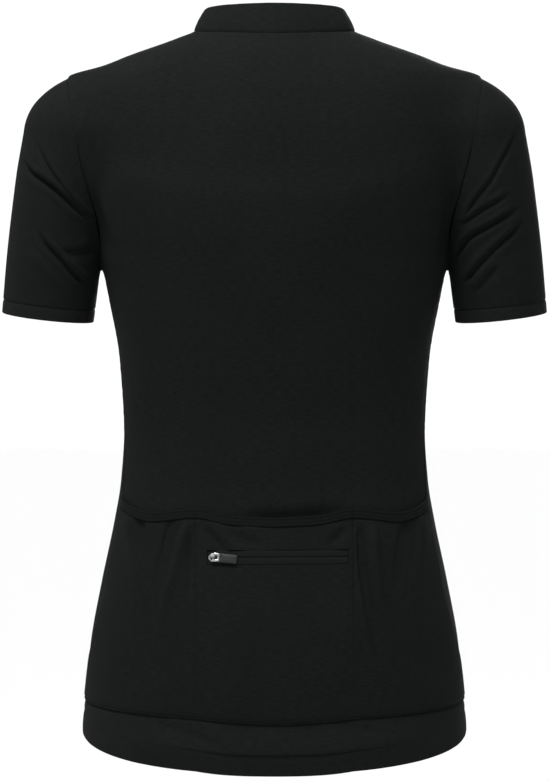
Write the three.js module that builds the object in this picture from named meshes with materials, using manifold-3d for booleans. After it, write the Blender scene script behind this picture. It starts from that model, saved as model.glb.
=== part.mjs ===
// A short-sleeved cycling jersey in a woman's cut, filled out as it is when worn, with nobody in it.
// Millimetres. +Z is up, the front with its long zip faces -Y, and +X is the wearer's left.
// The origin is the middle of the neck opening, level with the inner ends of the shoulder seams.
import * as THREE from "three";
import { mergeVertices } from "three/addons/utils/BufferGeometryUtils.js";
import Module from "manifold-3d";

const wasm = await Module();
wasm.setup();

// Cloth
const CLOTH = 1.5; // wall of a single layer
const BAND = 2; // wall of the turned hems and cuffs
const COLLAR_WALL = 2.2; // the collar is two layers
const POCKET_CLOTH = 1.2;
const SEAM_GAP = 0.3; // between two pieces that are sewn together
const LAYER_GAP = 0.5; // between the back and a pocket that lies on it

// The body: how the filled jersey's level section changes with height.
const TORSO = [
  { z: 34, width: 63, back: 47, front: 56, square: 2 },
  { z: 2, width: 73, back: 54, front: 60, square: 2 },
  { z: -6, width: 91, back: 60, front: 61, square: 2 },
  { z: -25, width: 143, back: 74, front: 65, square: 2 },
  { z: -43, width: 179, back: 84, front: 70, square: 2.05 },
  { z: -60, width: 185, back: 91, front: 76, square: 2.1 },
  { z: -95, width: 182, back: 99, front: 91, square: 2.15 },
  { z: -140, width: 173, back: 102, front: 109, square: 2.2 },
  { z: -185, width: 164, back: 101, front: 120, square: 2.2 },
  { z: -214, width: 158, back: 98, front: 123, square: 2.2 },
  { z: -246, width: 151.5, back: 93, front: 121, square: 2.25 },
  { z: -300, width: 142, back: 84, front: 112, square: 2.3 },
  { z: -365, width: 138.2, back: 76, front: 102, square: 2.3 },
  { z: -411, width: 141, back: 78, front: 103, square: 2.3 },
  { z: -448, width: 147, back: 86, front: 106, square: 2.3 },
  { z: -503, width: 158.5, back: 101, front: 111, square: 2.3 },
  { z: -558, width: 168.5, back: 112, front: 114, square: 2.3 },
  { z: -610, width: 173.6, back: 116, front: 114, square: 2.3 },
  { z: -646, width: 176.5, back: 113, front: 112, square: 2.3 },
  { z: -680, width: 174, back: 109, front: 110, square: 2.3 },
];

// The sleeve hangs on a straight axis from the middle of the shoulder to the middle of the cuff.
const ARM_TOP = new THREE.Vector3(191, 5, -95);
const ARM_END = new THREE.Vector3(209, -10, -262);
const ARM_CAP = 45; // height of the rounded cap over ARM_TOP
const ARM = [
  { down: 0, width: 39.4, depth: 47 },
  { down: 45, width: 42.3, depth: 50 },
  { down: 110, width: 43.4, depth: 50 },
  { down: 170, width: 42.4, depth: 47 },
];
const SHOULDER_BLEND = { z: -90, size: 34 }; // the arm flows into the body over this distance
const ARMPIT_BLEND = { z: -190, size: 7 };

// Seams
const ARMHOLE_MIDDLE = { y: 2, z: -128, half: 85 };
const ARMHOLE = [
  { z: -214, back: 159.7, front: 159.7 },
  { z: -206, back: 161.6, front: 161 },
  { z: -190, back: 165, front: 163 },
  { z: -172, back: 168.5, front: 165 },
  { z: -143, back: 172.5, front: 168 },
  { z: -106, back: 178, front: 172.5 },
  { z: -75, back: 184, front: 180 },
  { z: -43, back: 190, front: 190 },
];
const NECK = { middle: new THREE.Vector3(0, -5, -60), width: 75, back: 60, front: 67 };
const NECK_HEIGHT = [
  { turn: 0, z: -5 },
  { turn: 45, z: -3 },
  { turn: 90, z: 1 },
  { turn: 120, z: -14 },
  { turn: 150, z: -43 },
  { turn: 180, z: -60 },
];
const COLLAR_TOP = { width: 64.5, back: 47, front: 60 };
const COLLAR_TOP_HEIGHT = [
  { turn: 0, z: 23.5 },
  { turn: 60, z: 22.5 },
  { turn: 90, z: 20 },
  { turn: 130, z: -2 },
  { turn: 180, z: -33 },
];
const SIDE_SEAM = [
  { z: -640, turn: 3 },
  { z: -577, turn: 8 },
  { z: -550, turn: 14 },
  { z: -507, turn: 19 },
  { z: -440, turn: 17 },
  { z: -400, turn: 12 },
  { z: -330, turn: 5 },
  { z: -214, turn: 0 },
];
// Level lines: their height at the side seam and in the middle, and how late they leave the middle's height.
const ARMPIT_ROW = { side: -214, middle: -236, bend: 6 };
const HEM = { side: -640, back: -673, front: -626, bend: 2.4 };
const HEM_SEAM = { side: -611, back: -626.5, front: -598, bend: 1.4 };
const ZIP_HALF = 5; // half the width of the front zip between the two front panels
const CUFF = 12; // height of the turned cuff
const OVER_ARM = [
  // the sleeve's outer line from the shoulder point to the cuff, seen from behind
  { x: 190, z: -43 },
  { x: 218, z: -62 },
  { x: 232, z: -98 },
  { x: 239.5, z: -135 },
  { x: 245.6, z: -190 },
  { x: 252, z: -256.5 },
];
const UNDER_ARM = [
  // its inner line from below the armpit to the cuff
  { x: 163.2, z: -230 },
  { x: 167.5, z: -266 },
];
const ARMPIT_LEAN = { from: -150, to: -200 }; // heights between which the armhole's cloth turns to the body

// How many cells each stretch of cloth has.
const COLUMNS = { neck: 5, shoulder: 7 };
const ROWS = {
  pocket: 9,
  underSlot: 5,
  overSlot: 2,
  binding: 1,
  side: 10,
  armhole: 16,
  sleeve: 12,
  collar: 3,
  hemBack: 3,
  hemFront: 2,
};

// Pockets
const DIVIDE = 70.5; // from the middle of the back to the stitching between two pockets
const MOUTH = [
  // the top of the pockets' bindings, from the middle of the back (u 0) to the side seam (u 1)
  { u: 0, z: -444.5 },
  { u: 0.2, z: -442.5 },
  { u: 0.417, z: -436 },
  { u: 0.66, z: -440 },
  { u: 0.8, z: -436.5 },
  { u: 1, z: -426.5 },
];
const BINDING = { height: 8.5, wall: 1.8 };
const POCKET_FOOT = 1.5; // a pocket ends this far above the hem seam
const GAPE = { middle: 2.4, side: 1.2, reach: 55 }; // how far the empty mouths stand off the back
const POCKET_ZIP = { left: 60, right: -66, z: -479, half: 6.5, slope: 0.11 };

// Zip sliders and pull tabs
const SLIDER = {
  length: 9,
  width: 7.4,
  wall: 1.5,
  nose: 2.6,
  axis: 1.3, // height of the pull tab's bar over the body
  eye: { length: 4.8, height: 2.5 },
  // its arch is upright up to the shoulder and then leans in to the crown, in parts of its height and width
  bridge: { wall: 1.1, width: 2.2, root: 0.4, shoulder: 0.7, crown: 0.7 },
};
const PULL = {
  length: 22,
  width: 7.8,
  wall: 1.2,
  bar: 1.2,
  slot: { width: 3.5, length: 4 },
  round: 2.2,
  dip: 4.2, // degrees that it leans to the cloth
};
const POCKET_PULL_DROOP = 6; // degrees that the pocket's pull tab hangs below the line of its zip
const POCKET_SLIDER_X = 54;
const FRONT_SLIDER_DOWN = 7; // from the top of the collar to the middle of the front slider

const radians = THREE.MathUtils.degToRad;
const lerp = THREE.MathUtils.lerp;
const clamp = THREE.MathUtils.clamp;
const vector = (x, y, z) => new THREE.Vector3(x, y, z);
const between = (a, b, t) => a.clone().lerp(b, t);

// A smooth curve through one column of a table, against another column, with no overshoot between rows.
function smoothColumn(table, by, column) {
  const rows = [...table].sort((a, b) => a[by] - b[by]);
  const x = rows.map((row) => row[by]);
  const y = rows.map((row) => row[column]);
  const rise = x.slice(1).map((next, i) => (y[i + 1] - y[i]) / (next - x[i]));
  const slope = x.map((_, i) => {
    if (i === 0) return rise[0];
    if (i === rise.length) return rise[i - 1];
    return rise[i - 1] * rise[i] <= 0 ? 0 : 2 / (1 / rise[i - 1] + 1 / rise[i]);
  });
  return (at) => {
    if (at <= x[0]) return y[0];
    if (at >= x[x.length - 1]) return y[y.length - 1];
    const i = x.findIndex((next) => next > at) - 1;
    const span = x[i + 1] - x[i];
    const t = (at - x[i]) / span;
    const s = 1 - t;
    return (
      y[i] * (1 + 2 * t) * s * s +
      slope[i] * span * t * s * s +
      y[i + 1] * t * t * (3 - 2 * t) -
      slope[i + 1] * span * t * t * s
    );
  };
}

// The figure: a closed form that the outside of the cloth follows.
const torsoWidth = smoothColumn(TORSO, "z", "width");
const torsoBack = smoothColumn(TORSO, "z", "back");
const torsoFront = smoothColumn(TORSO, "z", "front");
const torsoSquare = smoothColumn(TORSO, "z", "square");
const armWidth = smoothColumn(ARM, "down", "width");
const armDepth = smoothColumn(ARM, "down", "depth");
const armAxis = ARM_END.clone().sub(ARM_TOP).normalize();
const armOut = vector(0, 1, 0).cross(armAxis).normalize().negate();
const armBack = armOut.clone().cross(armAxis).normalize();

// 1 on the torso's surface, and less inside.
function torsoRatio(p) {
  const n = torsoSquare(p.z);
  const depth = p.y > 0 ? torsoBack(p.z) : torsoFront(p.z);
  return ((Math.abs(p.x) / torsoWidth(p.z)) ** n + (Math.abs(p.y) / depth) ** n) ** (1 / n);
}

// 1 on the surface of the wearer's left arm, and less inside.
function armRatio(p) {
  const q = p.clone().sub(ARM_TOP);
  const down = q.dot(armAxis);
  const cap = Math.min(down, 0) / ARM_CAP;
  return Math.hypot(q.dot(armOut) / armWidth(down), q.dot(armBack) / armDepth(down), cap);
}

const STEP = 0.5; // for slopes
function slopeOf(value, p) {
  const d = (x, y, z) => value(vector(p.x + x, p.y + y, p.z + z)) - value(vector(p.x - x, p.y - y, p.z - z));
  return vector(d(STEP, 0, 0), d(0, STEP, 0), d(0, 0, STEP)).divideScalar(2 * STEP);
}
const distanceBy = (ratio, p) => (ratio(p) - 1) / Math.max(slopeOf(ratio, p).length(), 1e-6);

// About the distance from the figure's surface, negative inside, the same on both sides of the body.
function figure(point) {
  const p = vector(Math.abs(point.x), point.y, point.z);
  const body = distanceBy(torsoRatio, p);
  const arm = distanceBy(armRatio, p);
  const high = clamp((p.z - ARMPIT_BLEND.z) / (SHOULDER_BLEND.z - ARMPIT_BLEND.z), 0, 1);
  const blend = lerp(ARMPIT_BLEND.size, SHOULDER_BLEND.size, high);
  const near = Math.max(blend - Math.abs(body - arm), 0) / blend;
  return Math.min(body, arm) - (near * near * blend) / 4;
}
const normalAt = (p) => slopeOf(figure, p).normalize();

// Moves a point to the figure's surface, the shortest way.
function settle(p) {
  const q = p.clone();
  for (let i = 0; i < 8; i++) {
    const slope = slopeOf(figure, q);
    q.addScaledVector(slope, -figure(q) / Math.max(slope.lengthSq(), 0.05));
  }
  return q;
}

// Where a ray from inside the figure first comes out.
function wayOut(start, direction) {
  const at = (t) => start.clone().addScaledVector(direction, t);
  let inside = 0;
  let outside = 0;
  while (outside < 300 && figure(at(outside)) < 0) {
    inside = outside;
    outside += 2;
  }
  for (let i = 0; i < 24; i++) {
    const middle = (inside + outside) / 2;
    if (figure(at(middle)) < 0) inside = middle;
    else outside = middle;
  }
  return at(inside);
}

// Folds of the cloth, each a soft ridge or trough along a curve, as seen from behind or from the front.
// side is 1 behind and -1 in front; x and z give where a fold starts, bends and ends; lift is up or,
// below 0, in.
const SLEEVE_FOLDS = [
  { side: 1, x: [229, 199, 176], z: [-87, -128, -167], width: 6, lift: -1.2 },
  { side: 1, x: [228, 200, 169], z: [-126, -140, -182], width: 6, lift: -2.4 },
  { side: 1, x: [219, 200, 178], z: [-182, -204, -226], width: 6, lift: -1.8 },
  { side: -1, x: [226, 200, 172], z: [-96, -134, -172], width: 7, lift: -1.6 },
  { side: -1, x: [224, 198, 168], z: [-140, -160, -194], width: 6.5, lift: -2.2 },
  { side: -1, x: [220, 198, 178], z: [-192, -212, -234], width: 6, lift: -1.6 },
];
const SLEEVE_FOLDS_RIGHT = [
  { side: 1, x: [219, 199, 174], z: [-94, -134, -173], width: 7, lift: -2 },
  { side: 1, x: [216, 194, 175], z: [-148, -164, -176], width: 6, lift: -1.3 },
  { side: 1, x: [217, 190, 166], z: [-165, -180, -207], width: 6, lift: -2.2 },
  { side: 1, x: [225, 204, 184], z: [-180, -199, -222], width: 7, lift: -1.6 },
  { side: -1, x: [226, 200, 172], z: [-104, -140, -178], width: 7, lift: -1.6 },
  { side: -1, x: [220, 196, 170], z: [-168, -186, -212], width: 6.5, lift: -2 },
];
const POCKET_FOLDS = [
  { side: 1, x: [-75, -79, -91], z: [-446, -500, -574], width: 6, lift: 1.8 },
  { side: 1, x: [76, 74, 76], z: [-446, -480, -520], width: 5, lift: 0.9 },
  { side: 1, x: [133, 124, 113], z: [-440, -480, -530], width: 7, lift: 1.3 },
  { side: 1, x: [80, 92, 102], z: [-452, -480, -520], width: 7, lift: 1.1 },
  { side: 1, x: [-133, -135, -127], z: [-440, -475, -515], width: 7, lift: 1.3 },
  { side: 1, x: [-104, -98, -95], z: [-452, -478, -505], width: 6, lift: 1 },
];
const FOLD_STEPS = 16;

const curveAt = ([a, b, c], t) => (1 - t) ** 2 * a + 2 * t * (1 - t) * b + t * t * c;

// How far the folds lift the cloth at a point.
function liftAt(folds, p) {
  let lift = 0;
  for (const fold of folds) {
    if (p.y * fold.side < 0) continue;
    let nearest = Infinity;
    let along = 0;
    for (let i = 0; i <= FOLD_STEPS; i++) {
      const t = i / FOLD_STEPS;
      const away = Math.hypot(p.x - curveAt(fold.x, t), p.z - curveAt(fold.z, t));
      if (away < nearest) {
        nearest = away;
        along = t;
      }
    }
    lift += fold.lift * Math.exp(-((nearest / fold.width) ** 2)) * Math.sqrt(Math.sin(Math.PI * along));
  }
  return lift;
}

// Grids of points. A grid is a list of rows from the bottom up, and a row is a list of points.
const gridOf = (rows, columns, make) =>
  Array.from({ length: rows + 1 }, (_, i) => Array.from({ length: columns + 1 }, (_, j) => make(i, j)));
const mirrored = (p) => vector(-p.x, p.y, p.z);
const mirrorOf = (grid) => grid.map((row) => [...row].reverse().map(mirrored));
// Both halves of a grid whose first column is the middle line of the body.
const wholeOf = (half) => half.map((row) => [...row.slice(1).reverse().map(mirrored), ...row]);
const normalsOf = (grid) => grid.map((row) => row.map(normalAt));
const movedOut = (grid, normals, distance) =>
  grid.map((row, i) => row.map((p, j) => p.clone().addScaledVector(normals[i][j], distance(i, j, p))));

// The free edges of a grid, as closed loops of [row, column].
function edgeLoops(rows, columns, around) {
  const count = (n) => Array.from({ length: n }, (_, k) => k);
  if (around) return [count(columns).map((j) => [0, j]), count(columns).map((j) => [rows - 1, j])];
  return [
    [
      ...count(columns - 1).map((j) => [0, j]),
      ...count(rows - 1).map((i) => [i, columns - 1]),
      ...count(columns - 1).map((j) => [rows - 1, columns - 1 - j]),
      ...count(rows - 1).map((i) => [rows - 1 - i, 0]),
    ],
  ];
}

// Takes the free edges of a grid back by an inset, square to each edge.
function trimmed(points, normals, inset, around) {
  const rows = points.length;
  const columns = points[0].length;
  const result = points.map((row) => row.map((p) => p.clone()));
  const inner = (k, count) => (k === 0 ? 1 : k === count - 1 ? count - 2 : k);
  for (const loop of edgeLoops(rows, columns, around)) {
    const at = (k) => loop[(k + loop.length) % loop.length];
    const point = ([i, j]) => points[i][j];
    const moves = loop.map(([i, j], k) => {
      const p = points[i][j];
      const across = (edge) => normals[i][j].clone().cross(edge).normalize();
      const before = across(p.clone().sub(point(at(k - 1))));
      const after = across(point(at(k + 1)).clone().sub(p));
      const share = Math.max(1 + before.dot(after), 0.5);
      return before.add(after).multiplyScalar(inset / share);
    });
    const inwardness = loop.reduce((sum, [i, j], k) => {
      const within = points[inner(i, rows)][around ? j : inner(j, columns)];
      return sum + moves[k].dot(within.clone().sub(points[i][j]));
    }, 0);
    loop.forEach(([i, j], k) => result[i][j].addScaledVector(moves[k], Math.sign(inwardness)));
  }
  return result;
}

// Turns a closed geometry's faces out if they point in.
function facingOut(geometry) {
  const places = geometry.attributes.position;
  const index = geometry.index.array;
  const corner = (i) => new THREE.Vector3().fromBufferAttribute(places, index[i]);
  let volume = 0;
  for (let i = 0; i < index.length; i += 3) volume += corner(i).dot(corner(i + 1).cross(corner(i + 2)));
  for (let i = 0; i < index.length && volume < 0; i += 3) {
    const swapped = index[i + 1];
    index[i + 1] = index[i + 2];
    index[i + 2] = swapped;
  }
  return geometry;
}

// A wall of cloth whose outer face goes through the points of a grid. A grid that is closed around joins its
// last column to its first, and keep tells which cells have cloth.
function wall(points, normals, thickness, { around = false, inset = SEAM_GAP / 2, keep = () => true } = {}) {
  const rows = points.length;
  const columns = points[0].length;
  const outer = trimmed(points, normals, inset, around);
  const inner = movedOut(outer, normals, () => -thickness);
  const corners = [...outer.flat(), ...inner.flat()];
  const inward = rows * columns;
  const cellColumns = around ? columns : columns - 1;
  const kept = (i, j) => {
    if (i < 0 || i >= rows - 1) return false;
    if (!around && (j < 0 || j >= cellColumns)) return false;
    return keep(i, (j + columns) % columns);
  };
  const faces = [];
  // Two triangles, split along the shorter diagonal, so that two walls that meet are split alike.
  const face = (a, b, c, d) => {
    const first = corners[a].distanceTo(corners[c]) <= corners[b].distanceTo(corners[d]) + 1e-3;
    faces.push(...(first ? [a, b, c, a, c, d] : [a, b, d, b, c, d]));
    return first;
  };
  for (let i = 0; i < rows - 1; i++)
    for (let j = 0; j < cellColumns; j++) {
      if (!kept(i, j)) continue;
      const next = (j + 1) % columns;
      const a = i * columns + j;
      const b = i * columns + next;
      const c = b + columns;
      const d = a + columns;
      const [e, f, g, h] = [a, b, c, d].map((k) => k + inward);
      faces.push(...(face(a, b, c, d) ? [e, g, f, e, h, g] : [e, h, f, f, h, g]));
      if (!kept(i - 1, j)) face(b, a, e, f);
      if (!kept(i + 1, j)) face(d, c, g, h);
      if (!kept(i, j - 1)) face(a, d, h, e);
      if (!kept(i, j + 1)) face(c, b, f, g);
    }
  const geometry = new THREE.BufferGeometry();
  const places = corners.flatMap((p) => p.toArray());
  geometry.setAttribute("position", new THREE.Float32BufferAttribute(places, 3));
  geometry.setIndex(faces);
  return facingOut(geometry);
}

// Armhole seam: turn is 0 at the shoulder and 180 at the armpit, and side is 1 behind and -1 in front.
const armholeAt = { 1: smoothColumn(ARMHOLE, "z", "back"), [-1]: smoothColumn(ARMHOLE, "z", "front") };
function armhole(turn, side) {
  const down = Math.cos(radians(turn));
  const x = armholeAt[side](ARMHOLE_MIDDLE.z + ARMHOLE_MIDDLE.half * down);
  const middle = vector(x, ARMHOLE_MIDDLE.y, ARMHOLE_MIDDLE.z);
  return wayOut(middle, vector(0, side * Math.sin(radians(turn)), down));
}

// Neck seam: turn is 0 at the middle of the back, 90 at the shoulder seam and 180 at the middle of the front,
// where the seam stops at the edge of the zip.
const neckHeight = smoothColumn(NECK_HEIGHT, "turn", "z");
const FRONT_TURN = 180 - THREE.MathUtils.radToDeg(Math.asin(ZIP_HALF / NECK.width));
const atFrontEdge = (turn) => turn > FRONT_TURN - 0.01;
function neckSeam(turn) {
  if (atFrontEdge(turn)) return frontEdge(neckHeight(turn));
  const back = Math.cos(radians(turn));
  const target = vector(
    NECK.width * Math.sin(radians(turn)),
    back * (back > 0 ? NECK.back : NECK.front),
    neckHeight(turn),
  );
  return wayOut(NECK.middle, target.sub(NECK.middle).normalize());
}
function frontEdge(z) {
  return wayOut(vector(ZIP_HALF, 0, z), vector(0, -1, 0));
}

// Out from the cloth at the armhole seam. By the armpit it leans to the body's side, where the side seam
// ends.
function armholeNormal(p) {
  const lean = clamp((ARMPIT_LEAN.from - p.z) / (ARMPIT_LEAN.from - ARMPIT_LEAN.to), 0, 1);
  return normalAt(p).addScaledVector(slopeOf(torsoRatio, p).normalize(), lean).normalize();
}

const shoulderPoint = armhole(0, 1);
const armpit = armhole(180, 1);
const neckPoint = neckSeam(90);
function shoulderSeam(t) {
  const p = between(neckPoint, shoulderPoint, t);
  if (t <= 0 || t >= 1) return p;
  return wayOut(p.setZ(p.z - SHOULDER_BLEND.size), vector(0, 0, 1));
}

// A point of the body's level section. turn is 0 at the side and 90 at the middle of the back or front.
function section(turn, z, side) {
  const power = 2 / torsoSquare(z);
  const depth = side > 0 ? torsoBack(z) : torsoFront(z);
  const across = Math.max(Math.cos(radians(turn)), 0) ** power;
  const away = Math.max(Math.sin(radians(turn)), 0) ** power;
  return vector(torsoWidth(z) * across, side * depth * away, z);
}

// Columns: u is 0 at the middle line, DIVIDE_U where two pockets meet and 1 at the side seam.
const COLUMN_COUNT = COLUMNS.neck + COLUMNS.shoulder;
const DIVIDE_U = COLUMNS.neck / COLUMN_COUNT;
const sideTurn = smoothColumn(SIDE_SEAM, "z", "turn");
const turnAt = (x, z) => THREE.MathUtils.radToDeg(Math.acos((x / torsoWidth(z)) ** (torsoSquare(z) / 2)));
function bodyPoint(u, z, side) {
  if (side < 0 && u === 0) return frontEdge(z);
  const divide = turnAt(DIVIDE, z);
  const turn =
    u <= DIVIDE_U
      ? lerp(90, divide, u / DIVIDE_U)
      : lerp(divide, side * sideTurn(z), (u - DIVIDE_U) / (1 - DIVIDE_U));
  return settle(turn >= 0 ? section(turn, z, side) : section(-turn, z, 1));
}

// Heights of the level seams at a column.
const dipAt = (line, u, side) => lerp(side > 0 ? line.back : line.front, line.side, u ** line.bend);
const mouthAt = smoothColumn(MOUTH, "u", "z");
const pocketTop = (u, side = 1) => mouthAt(side > 0 ? u : 1) - BINDING.height;
const armpitRow = (u) => lerp(ARMPIT_ROW.middle, ARMPIT_ROW.side, u ** ARMPIT_ROW.bend);

// One half of the back or front, from the hem seam up and from the middle line out.
function halfPanel(side) {
  const top = (u) => {
    if (u > DIVIDE_U) return shoulderSeam((u - DIVIDE_U) / (1 - DIVIDE_U));
    return neckSeam(lerp(side > 0 ? 0 : FRONT_TURN, 90, u / DIVIDE_U));
  };
  const low = (u) => (u >= 1 ? armpit.clone() : bodyPoint(u, armpitRow(u), side));
  const middleLine = (w) => {
    const z = lerp(armpitRow(0), top(0).z, w);
    return side > 0 ? wayOut(vector(0, 0, z), vector(0, 1, 0)) : frontEdge(z);
  };
  const lower = gridOf(ROWS.pocket + ROWS.side - 1, COLUMN_COUNT, (i, j) => {
    const u = j / COLUMN_COUNT;
    const mouth = pocketTop(u, side);
    const z =
      i <= ROWS.pocket
        ? lerp(dipAt(HEM_SEAM, u, side), mouth, i / ROWS.pocket)
        : lerp(mouth, armpitRow(u), (i - ROWS.pocket) / ROWS.side);
    return bodyPoint(u, z, side);
  });
  const corner = [low(0), low(1), top(0), top(1)];
  const upper = gridOf(ROWS.armhole, COLUMN_COUNT, (i, j) => {
    const u = j / COLUMN_COUNT;
    const w = i / ROWS.armhole;
    if (i === 0) return low(u);
    if (i === ROWS.armhole) return top(u);
    const rim = armhole(180 * (1 - w), side);
    if (j === COLUMN_COUNT) return rim;
    if (j === 0) return middleLine(w);
    const p = low(u).multiplyScalar(1 - w);
    p.addScaledVector(top(u), w);
    p.addScaledVector(middleLine(w), 1 - u);
    p.addScaledVector(rim, u);
    p.addScaledVector(corner[0], -(1 - u) * (1 - w));
    p.addScaledVector(corner[1], -u * (1 - w));
    p.addScaledVector(corner[2], -(1 - u) * w);
    p.addScaledVector(corner[3], -u * w);
    return settle(p);
  });
  return [...lower, ...upper];
}

// Normals of a half panel, with the armhole's along its last column from the armpit up.
function panelNormals(panel) {
  const armpitAt = panel.length - 1 - ROWS.armhole;
  const onArmhole = (i, j) => j === COLUMN_COUNT && i >= armpitAt;
  return panel.map((row, i) => row.map((p, j) => (onArmhole(i, j) ? armholeNormal(p) : normalAt(p))));
}

// A hem band hangs from the lowest row of its panel.
function halfHem(panel, side, rows) {
  return gridOf(rows, COLUMN_COUNT, (i, j) => {
    const u = j / COLUMN_COUNT;
    if (i === rows) return panel[0][j].clone();
    return bodyPoint(u, lerp(dipAt(HEM, u, side), panel[0][j].z, i / rows), side);
  });
}

// The sleeve's rings turn from the armhole, which stands upright, to the cuff, which lies nearly level.
const curveOf = (points) => new THREE.CatmullRomCurve3(points, false, "centripetal");
const overArm = curveOf(OVER_ARM.map((p) => vector(p.x, 0, p.z)));
const underArm = curveOf([armpit.clone().setY(0), ...UNDER_ARM.map((p) => vector(p.x, 0, p.z))]);
const SLEEVE_TURNS = ROWS.armhole * 2;
const alongArm = (z) => (z - ARM_TOP.z) / (ARM_END.z - ARM_TOP.z);

// A ring through the outer and inner line of the arm; square is 0 for an upright ring, 1 square to the arm.
function sleeveRing(over, under, square) {
  const middle = between(over, under, 0.5);
  middle.y = lerp(ARM_TOP.y, ARM_END.y, alongArm(middle.z));
  const up = over.clone().sub(under).normalize();
  const back = between(vector(0, 1, 0), armBack, square);
  return Array.from({ length: SLEEVE_TURNS }, (_, k) => {
    const turn = (k / SLEEVE_TURNS) * 2 * Math.PI;
    const ray = up.clone().multiplyScalar(Math.cos(turn)).addScaledVector(back, Math.sin(turn));
    return wayOut(middle, ray.normalize());
  });
}
function armholeRing() {
  return Array.from({ length: SLEEVE_TURNS }, (_, k) => {
    const turn = (k * 360) / SLEEVE_TURNS;
    return turn <= 180 ? armhole(turn, 1) : armhole(360 - turn, -1);
  });
}
const cuffRise = armAxis.clone().setY(0).normalize().multiplyScalar(-CUFF);
const cuffSeam = sleeveRing(overArm.getPoint(1).add(cuffRise), underArm.getPoint(1).add(cuffRise), 1);
const cuffEdge = sleeveRing(overArm.getPoint(1), underArm.getPoint(1), 1);
function sleeveGrid() {
  const toCuff = (curve, s) => curve.getPointAt(s * (1 - CUFF / curve.getLength()));
  return Array.from({ length: ROWS.sleeve + 1 }, (_, i) => {
    const s = i / ROWS.sleeve;
    if (s === 0) return armholeRing();
    if (s === 1) return cuffSeam;
    return sleeveRing(toCuff(overArm, s), toCuff(underArm, s), s);
  });
}

// The collar stands on the neck seam and leans in a little.
const collarHeight = smoothColumn(COLLAR_TOP_HEIGHT, "turn", "z");
function collarTop(turn) {
  const back = Math.cos(radians(turn));
  const x = COLLAR_TOP.width * Math.sin(radians(turn));
  const y = back * (back > 0 ? COLLAR_TOP.back : COLLAR_TOP.front);
  return vector(atFrontEdge(turn) ? ZIP_HALF : x, y, collarHeight(turn));
}
function halfCollar() {
  return gridOf(ROWS.collar, COLUMNS.neck * 2, (i, j) => {
    const turn = j <= COLUMNS.neck ? (90 * j) / COLUMNS.neck : lerp(90, FRONT_TURN, j / COLUMNS.neck - 1);
    return between(neckSeam(turn), collarTop(turn), i / ROWS.collar);
  });
}
// Out from the collar, and halfway between the collar and the shoulder along its seam.
function collarNormals(grid) {
  return grid.map((row, i) =>
    row.map((p, j) => {
      if (i === 0) return normalAt(p);
      const along = row[Math.min(j + 1, row.length - 1)].clone().sub(row[Math.max(j - 1, 0)]);
      const rise = grid[grid.length - 1][j].clone().sub(grid[0][j]);
      const out = along.cross(rise).normalize();
      return out.multiplyScalar(Math.sign(out.dot(vector(p.x, p.y, 0))));
    }),
  );
}

// A pocket's cloth lies on the back. s is u with the sign of x.
const backPoint = (s, z) => (s < 0 ? mirrored(bodyPoint(-s, z, 1)) : bodyPoint(s, z, 1));
function gapeAt(s, z) {
  const middle = Math.abs(s) <= DIVIDE_U;
  const across = middle ? (s + DIVIDE_U) / (2 * DIVIDE_U) : (Math.abs(s) - DIVIDE_U) / (1 - DIVIDE_U);
  const near = clamp(1 - (pocketTop(Math.abs(s)) - z) / GAPE.reach, 0, 1);
  return (middle ? GAPE.middle : GAPE.side) * Math.max(Math.sin(Math.PI * across), 0) * near * near;
}
function pocketLayer(columns, heights, thickness) {
  const flat = heights.map((height) => columns.map((s) => backPoint(s, height(s))));
  const normals = normalsOf(flat);
  const out = (i, j, p) =>
    LAYER_GAP + thickness + gapeAt(columns[j], heights[i](columns[j])) + liftAt(POCKET_FOLDS, p);
  return { points: movedOut(flat, normals, out), normals };
}
const columnsBetween = (from, to) =>
  Array.from({ length: to - from + 1 }, (_, k) => (from + k) / COLUMN_COUNT);
const footAt = (s) => dipAt(HEM_SEAM, Math.abs(s), 1) + POCKET_FOOT;
const topAt = (s) => pocketTop(Math.abs(s));
const mix = (low, high, t) => (s) => lerp(low(s), high(s), t);
const heightsBetween = (low, high, cells) =>
  Array.from({ length: cells + 1 }, (_, i) => mix(low, high, i / cells));

// The slot in the middle pocket, and the columns that pass its ends.
const slotMiddle = (s) => POCKET_ZIP.z - POCKET_ZIP.slope * s * COLUMN_COUNT;
const slotLow = (s) => slotMiddle(s) - POCKET_ZIP.half;
const slotHigh = (s) => slotMiddle(s) + POCKET_ZIP.half;
const columnOf = (x) =>
  (Math.sign(x) * DIVIDE_U * (90 - turnAt(Math.abs(x), POCKET_ZIP.z))) / (90 - turnAt(DIVIDE, POCKET_ZIP.z));
const slotEnds = [columnOf(POCKET_ZIP.right), columnOf(POCKET_ZIP.left)];
const slotColumns = [
  slotEnds[0],
  ...columnsBetween(-COLUMNS.neck + 1, COLUMNS.neck - 1).filter((s) => s > slotEnds[0] && s < slotEnds[1]),
  slotEnds[1],
];
const middleColumns = [-DIVIDE_U, ...slotColumns, DIVIDE_U];

// Closed solids are joined here.
function joined(...geometries) {
  const solid = (geometry) => {
    const bare = geometry.clone();
    bare.deleteAttribute("normal");
    bare.deleteAttribute("uv");
    const merged = mergeVertices(bare, 1e-4);
    return new wasm.Manifold(
      new wasm.Mesh({
        numProp: 3,
        vertProperties: new Float32Array(merged.attributes.position.array),
        triVerts: new Uint32Array(merged.index.array),
      }),
    );
  };
  const mesh = geometries.map(solid).reduce((a, b) => a.add(b)).getMesh();
  const geometry = new THREE.BufferGeometry();
  geometry.setAttribute("position", new THREE.BufferAttribute(mesh.vertProperties, 3));
  geometry.setIndex(new THREE.BufferAttribute(mesh.triVerts, 1));
  return geometry;
}
const plate = (shape, depth) =>
  new THREE.ExtrudeGeometry(shape, { depth, bevelEnabled: false, curveSegments: 6 });

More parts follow.
